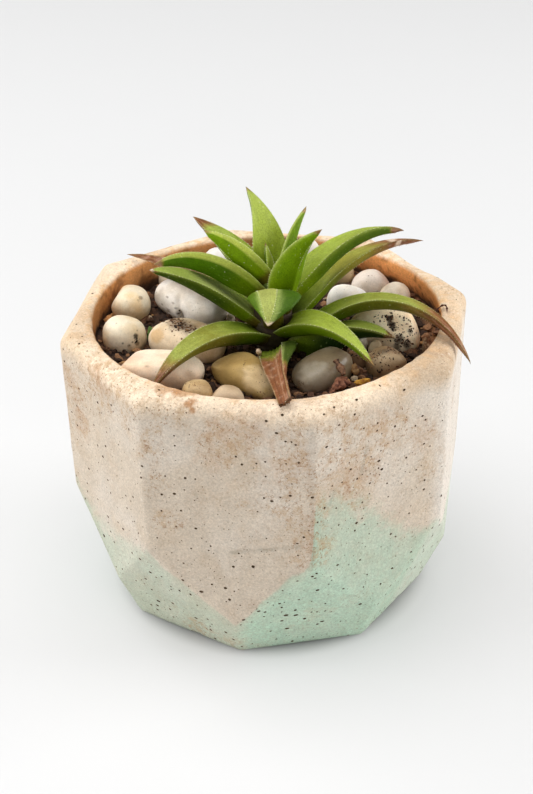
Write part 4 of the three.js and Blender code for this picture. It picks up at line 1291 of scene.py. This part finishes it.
def stone_colours(name, number, points):
    main, second = STONES[name][10:12]
    broad = grain(points, 6.5, seed=60 + number, octaves=3)
    small = grain(points, 1.5, seed=90 + number, octaves=2)
    vein = 1 - np.abs(grain(points, 4.2, seed=120 + number, octaves=2)) * 9
    layers = [(second, ramp(-0.15, 0.55, broad) * 0.8),
              (np.minimum(srgb(*main) * 1.12, 0.95), ramp(0.2, 0.6, -broad) * 0.6),
              (np.minimum(srgb(*main) * 1.15, 0.95), np.clip(vein, 0, 1) * 0.3)]
    for *place, size, colour, strength in STONE_MARKS.get(name, ()):
        nearest = points[np.argmin(((points - place) ** 2).sum(axis=1))]
        away = far_from(points, nearest, size) + 0.3 * small + 0.12 * broad
        layers.append((colour, ramp(1.2, 0.9 if size < 1 else 0.55, away) * strength))
    # soil clings round the lower part
    soiled = ramp(1.6, -0.2, points[:, 2] - SOIL_LEVEL + 1.2 * small + 0.8 * broad)
    return layered(plain(main, points), *layers, ((112, 84, 60), soiled * 0.65))


def make_stones():
    """Makes the stones and returns the surface of each, to stick dirt on."""
    opaque = stone_look("river_stone", 0.56, 0.08)
    clear = stone_look("clear_quartz_stone", 0.38, 0.35)
    surfaces = {}
    for number, (name, stone) in enumerate(STONES.items()):
        unit_points, faces = BALLS[5 if stone[3] > LARGE_STONE else 4]
        points = stone_shape(stone, number, unit_points)
        centre = np.array(stone[:3])
        outward = (points - centre) / far_from(points, centre)[:, None]
        for facing, distance in STONE_FLATS.get(name, ()):
            facing = unit(facing)
            over = (points - centre) @ facing - distance
            pressed = np.logaddexp(0, over / FLAT_SOFTNESS) * FLAT_SOFTNESS
            points = points - FLAT_SHARE * pressed[:, None] * facing
        rough = waves(points, (0.26, 5.5, 30 + number), (0.05, 1.1, 31))
        for middle, across, width, depth, reach in STONE_CREASES.get(name, ()):
            side = np.abs((points - middle) @ unit(across))
            rough -= (depth * np.exp(-(side / width) ** 2)
                      * ramp(reach, reach * 0.3, far_from(points, middle)))
        points = points + outward * rough[:, None]
        piece = make_piece("stone_" + name, points, faces, stone_colours(name, number, points),
                           clear if name == "clear_grey" else opaque, node="pebble_" + name)
        store(piece.data, "flecked", np.full(len(points), stone[12]))
        surfaces[name] = BVHTree.FromPolygons(points.tolist(), faces)
    return surfaces


stone_surfaces = make_stones()


# ------------------------------------------------------------------ soil

def crumbled_height(points):
    """The height of the soil over points: low waves, two banks and lumps."""
    x, y = points[:, 0], points[:, 1]
    broad = np.sin(0.31 * x + 1.3) * np.cos(0.27 * y - 0.6)
    height = SOIL_LEVEL + SOIL_BUMP * (broad + 0.5 * np.sin(0.71 * x - 0.4 * y))
    for bank_x, bank_y, rise, spread in BANKS:
        height = height + rise * np.exp(-(np.hypot(x - bank_x, y - bank_y) / spread) ** 2)
    level = np.column_stack([x, y, np.zeros(len(points))])
    return height + waves(level, (0.55, 3.2, 70), (0.32, 1.3, 71), (0.16, 0.6, 72))


# Share of the crumbs up to which each colour is drawn, and the colour.
SOIL_COLOURS = [
    (0.4, (56, 41, 33)), (0.64, (84, 60, 46)), (0.82, (114, 82, 60)), (0.92, (142, 104, 74)),
    (0.97, (166, 124, 82)), (1.0, (196, 174, 144)),
]
CRUMB_COUNT = 2400
CRUMB_REACH = 41.2               # crumbs lie this far from the mouth's axis at most
CRUMB_CLEARANCE = 4.5            # and this far from the stem's axis at least
RUSTY_RING, RUSTY_X = 37, 18     # those by the wall on the right, beyond these, are rusty
FINE_CRUMB = 0.75                # crumbs under this size are made of fewer faces


def rough_look(name, roughness, specular, tone_noise, tones, bump_noise, bump_depth):
    """A dull, grainy surface, for soil and dry scraps."""
    look = Look(name, roughness, Specular_IOR_Level=specular)
    colour = look.shaded(look.read("tint"), look.noise(tone_noise, 5, rough=0.7), *tones)
    return look.finish(colour, look.bump(look.noise(bump_noise, 5, rough=0.7), bump_depth, 0.9))


def soil_look(name):
    return rough_look(name, 0.92, 0.2, 0.7, (0.55, 1.45), 0.45, 0.2)


def scrap_look(name, roughness):
    return rough_look(name, roughness, 0.3, 0.8, (0.7, 1.25), 0.4, 0.12)


def make_soil():
    wall, floor = MOUTH_RADIUS - 0.3, CAVITY_FLOOR + 0.3
    rings = [circle(MOUTH, radius, z, SOIL_RING_POINTS) for radius, z in (
        (CAVITY_FOOT_RADIUS - 0.6, floor), (wall, CAVITY_CORNER), (wall, SOIL_LEVEL - 3))]
    for radius in np.linspace(wall, 0.6, SOIL_RINGS):
        rings.append(circle(MOUTH, radius, 0, SOIL_RING_POINTS))
        rings[-1][:, 2] = crumbled_height(rings[-1])
    middle = crumbled_height(np.array([[*MOUTH, 0.0]]))[0]
    points, faces = rings_to_skin(rings, (*MOUTH, floor), (*MOUTH, middle))
    tone = grain(points, 2.4, seed=75, octaves=2)
    # the bank on the right is rusty, as the wall beside it
    beside_wall = ramp(35.5, 40.5, from_mouth_axis(points)) * ramp(10, 26, points[:, 0])
    rusty = layered(plain((158, 108, 68), points), ((104, 68, 46), ramp(-0.2, 0.4, tone)))
    colours = layered(plain((58, 42, 33), points), ((96, 66, 46), ramp(0.1, 0.6, tone)),
                      ((34, 26, 22), ramp(0.1, 0.6, -tone)), (rusty, 0.85 * beside_wall))
    make_piece("soil_bed", points, faces, colours, soil_look("potting_soil"), node="soil")


def lump(unit_points, half_sizes, randomly, cuts, roughness):
    """A broken, angular lump about the origin."""
    points = unit_points
    for _ in range(cuts):
        normal = unit([randomly.gauss(0, 1) for _ in range(3)])
        over = points @ normal - randomly.uniform(0.45, 0.85)
        points = points - np.clip(over, 0, None)[:, None] * normal
    shift = randomly.uniform(0, 100)
    rough = np.array([noise.noise(p) for p in (points * 2.3 + shift).tolist()])
    points = points * (1 + roughness * rough[:, None]) * half_sizes
    return turned(points, math.degrees(randomly.uniform(0, 2 * math.pi)))


def make_heap_piece(name, heap, material, **standing):
    make_piece(name, np.vstack(heap.points), heap.faces, np.vstack(heap.colours), material,
               smooth=False, **standing)


def make_crumbs():
    """Loose crumbs of bark and peat over the soil, between the stones."""
    randomly = random.Random(21)
    heap = Heap()
    while len(heap.points) < CRUMB_COUNT:
        radius = CRUMB_REACH * math.sqrt(randomly.random())
        angle = randomly.uniform(0, 2 * math.pi)
        x, y = MOUTH[0] + radius * math.cos(angle), MOUTH[1] + radius * math.sin(angle)
        height = crumbled_height(np.array([[x, y, 0.0]]))[0]
        if math.hypot(x - CROWN[0], y - CROWN[1]) < CRUMB_CLEARANCE:
            continue
        size = 0.3 + 1.25 * randomly.random() ** 2.8
        if any(inside_stone(stone, (x, y, height + 0.3 * size), -0.25 * size)[0]
               for stone in STONES.values()):
            continue
        unit_points, faces = BALLS[2 if size > FINE_CRUMB else 1]
        flat = randomly.uniform(0.35, 0.9)
        half = np.array([size * randomly.uniform(0.8, 1.7), size * 0.8, size * flat])
        crumb = lump(unit_points, half, randomly, cuts=4, roughness=0.3)
        crumb = turned(crumb, math.degrees(randomly.uniform(-0.7, 0.7)), (1, 2))
        rusty = radius > RUSTY_RING and x > RUSTY_X
        draw = randomly.uniform(0.5 if rusty else 0, 1)
        colour = srgb(*next(colour for limit, colour in SOIL_COLOURS if draw <= limit))
        heap.add(crumb + (x, y, height + 0.25 * size), faces, colour * randomly.uniform(0.75, 1.2))
    make_heap_piece("soil_crumbs", heap, soil_look("bark_crumbs"), like="soil")


make_soil()
make_crumbs()


# ------------------------------------------------------------------ scraps on the soil

# Middle (x, y, z), half sizes and turn of each scrap, then its two colours.
SCRAPS = {
    "grit_tan": (19.9, -20.4, 67.2, 1.2, 1.1, 1.7, 20, (184, 148, 102), (140, 102, 66)),
    "grit_white": (-9, 8.2, 66.2, 1.2, 1.2, 1.6, 0, (216, 202, 180), (180, 160, 130)),
    "bark_chip_right": (37.2, -8.4, 66.6, 1.2, 1.4, 2.2, 10, (182, 152, 118), (124, 90, 62)),
    "grit_orange": (-38.6, 8.6, 66.2, 1.6, 1.5, 1.8, 30, (188, 136, 84), (138, 90, 52)),
    "bark_chunk_red": (15.8, -27.9, 67, 3.3, 1.8, 2.2, 28, (146, 98, 74), (82, 46, 34)),
    "bark_flake_yellow": (21.2, -26, 66.2, 2.6, 1.1, 1.4, 26, (204, 152, 60), (150, 98, 40)),
    "leaf_scrap_green": (-28.3, 0.9, 66.1, 0.9, 1.4, 2.2, -10, (104, 136, 66), (70, 100, 46)),
}
TWIG_MIDDLE, TWIG_LENGTH, TWIG_RADIUS = (16.2, -26.4, 70.9), 4.2, 0.9
TWIG_HEADING, TWIG_DIP = -62, -30
ROOT_HAIR = [(39.6, 0.2, 70.4), (40.4, 0.0, 71.5), (41.2, 0.3, 72.4), (42.1, 0.3, 73.0),
             (42.7, -0.2, 73.1), (42.9, -0.9, 72.7), (42.8, -1.8, 72.4)]
PALE_CHIP = [(-1.6, -17.0, 68.6), (-1.8, -17.8, 69.6), (-2.0, -18.6, 70.9), (-2.3, -19.4, 72.0)]


def make_scraps(rough, smooth):
    unit_points, faces = BALLS[4]
    for number, (name, (x, y, z, a, b, c, turn, light, dark)) in enumerate(SCRAPS.items()):
        woody = name.startswith("bark")
        points = lump(unit_points, np.ones(3), random.Random(300 + number), cuts=9,
                      roughness=0.3 if woody else 0.12)
        points = points / np.abs(points).max(axis=0) * (a, b, c)
        pitted = grain(points, 0.9, seed=301 + number, octaves=2)
        if woody:
            layers = 0.09 * np.sin(points[:, 2] * 9 + 3 * pitted)
            points[:, :2] *= (1 + layers)[:, None] - 0.04
        points *= (1 - 0.1 * np.clip(pitted, 0, 1))[:, None]
        points = turned(points, turn) + (x, y, z)
        soiled = ramp(2.0, 0.0, points[:, 2] - SOIL_LEVEL)
        colours = layered(plain(light, points), (dark, ramp(-0.1, 0.5, pitted)),
                          ((70, 50, 38), soiled * 0.5))
        make_piece(name + "_rough", points, faces, colours,
                   smooth if name.startswith("leaf") else rough, node=name)


def make_tube(name, centres, radii, sides, ragged, seed, light, dark, tone, material, **standing):
    """A closed, ragged tube along points, with a radius at each, in two colours."""
    centres = np.array(centres)
    rings = []
    for k, centre in enumerate(centres):
        ahead = centres[min(k + 1, len(centres) - 1)] - centres[max(k - 1, 0)]
        across = unit(np.cross(ahead, (0.2, 0.1, 1)))
        above = unit(np.cross(across, ahead))
        angles = round_angles(sides)
        rings.append(centre + radii[k] * (np.outer(np.cos(angles), across)
                                          + np.outer(np.sin(angles), above)))
    points, faces = rings_to_skin([ring[::-1] for ring in rings], centres[0], centres[-1])
    rough = grain(points, 0.7, seed=seed, octaves=2)
    middles = np.repeat(centres, sides, axis=0)
    points[1:-1] += (points[1:-1] - middles) * (ragged * rough[1:-1])[:, None]
    size, octaves, full = tone
    mottled = ramp(-0.1, full, grain(points, size, seed=seed + 1, octaves=octaves))
    make_piece(name, points, faces, layered(plain(light, points), (dark, mottled)), material,
               **standing)


def make_twig(material):
    along = way(math.radians(TWIG_HEADING), math.radians(TWIG_DIP))
    stops = np.linspace(-0.5, 0.5, 30)
    centres = [np.array(TWIG_MIDDLE) + along * TWIG_LENGTH * stop
               + np.array([0, 0, 0.12]) * math.sin(stop * 7) for stop in stops]
    radii = [TWIG_RADIUS * (0.82 + 0.14 * math.sin(9 * stop + 1)) for stop in stops]
    radii[0] = radii[-1] = TWIG_RADIUS * 0.55
    make_tube("broken_twig", centres, radii, 20, 0.35, 310, (122, 88, 64), (62, 42, 32),
              (0.8, 2, 0.5), material, node="twig")


def make_root_hair(material):
    """A dry root hair lying over the right inner edge of the rim."""
    stops = np.arange(4 * len(ROOT_HAIR) - 3) / 4
    path = np.column_stack([np.interp(stops, range(len(ROOT_HAIR)), column)
                            for column in zip(*ROOT_HAIR)])
    for _ in range(3):
        path[1:-1] = (path[:-2] + 2 * path[1:-1] + path[2:]) / 4
    radii = 0.2 + 0.08 * np.sin(np.arange(len(path)) * 1.3)
    make_tube("dry_root_hair", path, radii, 8, 0.3, 320, (74, 42, 30), (74, 42, 30),
              (0.8, 1, 0.5), material, like="twig")


def make_pale_chip(material):
    """A dried sliver of leaf standing against the leaf that hangs over the rim."""
    stops = np.linspace(0, 3, 16)
    centres = np.column_stack([np.interp(stops, range(4), column) for column in zip(*PALE_CHIP)])
    radii = 0.35 + 0.28 * np.sin(stops * 1.9 + 0.3) ** 2
    make_tube("pale_dry_chip", centres, radii, 10, 0.5, 340, (214, 188, 158), (150, 112, 84),
              (0.7, 1, 0.4), material, like="twig")


DARK_DIRT, MID_DIRT, RUSTY_DIRT = srgb(44, 34, 28), srgb(92, 66, 48), srgb(128, 92, 62)

# Dirt stuck on stones: the stone, the spots (x, y, z, reach), how many crumbs, their least
# and greatest size, and their colours.
STUCK_DIRT = [
    ("cream_dusty", [
        (-21.4, -6.6, 72.7, 2.6), (-20, -7.4, 72.7, 2), (-18.4, -9, 72.3, 1.8), (-22.4, -4, 72, 2)],
     230, (0.08, 0.42), [DARK_DIRT, MID_DIRT, MID_DIRT, RUSTY_DIRT]),
    ("large_speckled", [
        (29, -5.6, 73, 0.8), (29.4, -7.2, 71.6, 0.7), (31, -8.5, 68.8, 1.8), (32.4, -8.6, 67.5, 1.6),
        (33.3, -7.6, 70.6, 3.6), (30, -6.5, 71.5, 4.2), (27, -6.5, 72, 4)],
     330, (0.05, 0.34), [DARK_DIRT, DARK_DIRT, MID_DIRT]),
    ("grey_speckled", [(28.6, -18.6, 71.3, 2.2), (25, -19.6, 70.4, 2.4), (26.5, -22, 69.5, 3.4)],
     170, (0.05, 0.32), [MID_DIRT, DARK_DIRT, RUSTY_DIRT]),
    ("brown_dirty", [(20.6, -15.6, 70, 2.6)], 120, (0.15, 0.5), [DARK_DIRT, MID_DIRT, RUSTY_DIRT]),
    ("cream_spotted", [(-30.9, -5.6, 67.7, 0.8)], 16, (0.1, 0.3), [DARK_DIRT]),
    ("white_cleft", [(-21.2, 8.8, 66.8, 1), (-18, 9, 67, 3.4)], 40, (0.06, 0.3), [DARK_DIRT, MID_DIRT]),
    ("clear_grey", [(16, -24, 70.5, 2), (7.6, -27.6, 66.8, 2.4)],
     40, (0.05, 0.22), [DARK_DIRT, MID_DIRT]),
    ("yellow", [(-6, -25, 70.6, 4), (0, -30, 68, 3)], 50, (0.04, 0.16), [MID_DIRT, DARK_DIRT]),
    ("white_far_right", [(26.6, 22, 68.6, 4)], 12, (0.05, 0.2), [MID_DIRT, RUSTY_DIRT]),
    ("buff_far_right", [(33.4, 15, 68, 3)], 9, (0.05, 0.2), [MID_DIRT, RUSTY_DIRT]),
    ("front_grey", [(-16, -33, 69.5, 3)], 40, (0.05, 0.22), [MID_DIRT, RUSTY_DIRT]),
]


def make_stuck_dirt(material):
    randomly = random.Random(330)
    unit_points, faces = BALLS[1]
    for name, spots, count, (least, greatest), colours in STUCK_DIRT:
        heap = Heap()
        for _ in range(count):
            x, y, z, reach = randomly.choice(spots)
            aim = [value + randomly.gauss(0, reach / 2) for value in (x, y, z)]
            place, normal, _, _ = stone_surfaces[name].find_nearest(aim)
            if normal.z < -0.2:
                continue
            size = least + (greatest - least) * randomly.random() ** 2
            half = np.array([size * randomly.uniform(0.8, 1.8), size * 0.8, size * 0.5])
            lie = np.array(normal.to_track_quat("Z", "Y").to_matrix())
            crumb = lump(unit_points, half, randomly, cuts=3, roughness=0.4) @ lie.T
            heap.add(crumb + np.array(place), faces,
                     randomly.choice(colours) * randomly.uniform(0.8, 1.2))
        make_heap_piece("dirt_on_" + name, heap, material, like="soil")


dry_scrap = scrap_look("dry_scrap", 0.85)
make_scraps(dry_scrap, scrap_look("green_scrap", 0.5))
make_twig(dry_scrap)
make_root_hair(dry_scrap)
make_pale_chip(dry_scrap)
make_stuck_dirt(soil_look("stuck_dirt"))


# ------------------------------------------------------------------ floor, light, camera

FLOOR_HALF = 3000                # half its side
FLOOR_GLOW = 0.32                # lifts the shadows, as in an overexposed white studio
# the dimmer glow next to the pot is a painted contact shadow
GLOW_RING = (0.035, 0.0415)      # metres from the middle where the glow grows to its full
WORLD_STRENGTH = 0.12

# Square lamps: name, place, target and size in metres, power in watts.
PLANT = (0, 0, 0.06)
LAMPS = [
    ("left_low", (-1.0, -0.1, 0.35), PLANT, 0.6, 6.1),
    ("left_back", (-0.75, 0.55, 0.75), PLANT, 0.8, 4.1),
    ("right_low", (1.0, 0.1, 0.35), PLANT, 0.6, 9.2),
    ("overhead", (-0.12, 0.0, 1.1), PLANT, 1.0, 11.3),
    ("front_fill", (0.0, -1.2, 0.9), PLANT, 1.4, 2.8),
    ("front_low", (0.15, -1.3, 0.16), (0, 0, 0.03), 0.9, 4.6),
]


def make_floor():
    look = Look("floor", 0.6, Specular_IOR_Level=0.2, Emission_Color=(1, 1, 1, 1))
    away = look.node("ShaderNodeVectorMath", {0: look.place}, operation="LENGTH")
    glow = look.ranged(away.outputs["Value"], *GLOW_RING, 0.1 * FLOOR_GLOW, FLOOR_GLOW)
    look.feed(look.shader, {"Emission Strength": glow})
    corners = [(x * FLOOR_HALF, y * FLOOR_HALF, 0) for x, y in ((-1, -1), (1, -1), (1, 1), (-1, 1))]
    floor = mesh_object("floor", corners, [(0, 1, 2, 3)])
    floor.data.materials.append(
        look.finish(look.shaded(srgb(175, 175, 175), look.noise(40, 2), 0.995, 1.0)))


def make_lights():
    world = bpy.data.worlds.new("studio")
    world.use_nodes = True
    background = world.node_tree.nodes["Background"]
    background.inputs["Color"].default_value = (1, 1, 1, 1)
    background.inputs["Strength"].default_value = WORLD_STRENGTH
    scene.world = world
    for name, place, target, size, power in LAMPS:
        data = bpy.data.lights.new(name, "AREA")
        data.shape = "SQUARE"
        data.size = size
        data.energy = power
        lamp = placed(name, data)
        lamp.location = place
        lamp.rotation_euler = (Vector(target) - Vector(place)).to_track_quat("-Z", "Y").to_euler()


CAMERA_ELEVATION = 29.30         # degrees above the level
CAMERA_ROLL = -0.95
CAMERA_PLACE = (-0.46, -356.97, 249.06)
FOCAL_PIXELS = 1665.35           # for the picture of 533 by 794
PICTURE_HEIGHT = 794


def make_camera():
    data = bpy.data.cameras.new("camera")
    data.sensor_width = 36
    data.lens = FOCAL_PIXELS / PICTURE_HEIGHT * data.sensor_width
    data.clip_start = 0.01
    elevation, roll = math.radians(CAMERA_ELEVATION), math.radians(CAMERA_ROLL)
    level = Vector((1, 0, 0))
    ahead = Vector((0, math.cos(elevation), -math.sin(elevation)))
    above = Vector((0, math.sin(elevation), math.cos(elevation)))
    right = level * math.cos(roll) + above * math.sin(roll)
    up = above * math.cos(roll) - level * math.sin(roll)
    turn = Matrix((right, up, -ahead)).transposed().to_4x4()
    scene.camera = placed("camera", data)
    scene.camera.matrix_world = Matrix.Translation(Vector(CAMERA_PLACE) * MM) @ turn


make_floor()
make_lights()
make_camera()
scene.view_settings.view_transform = "Standard"
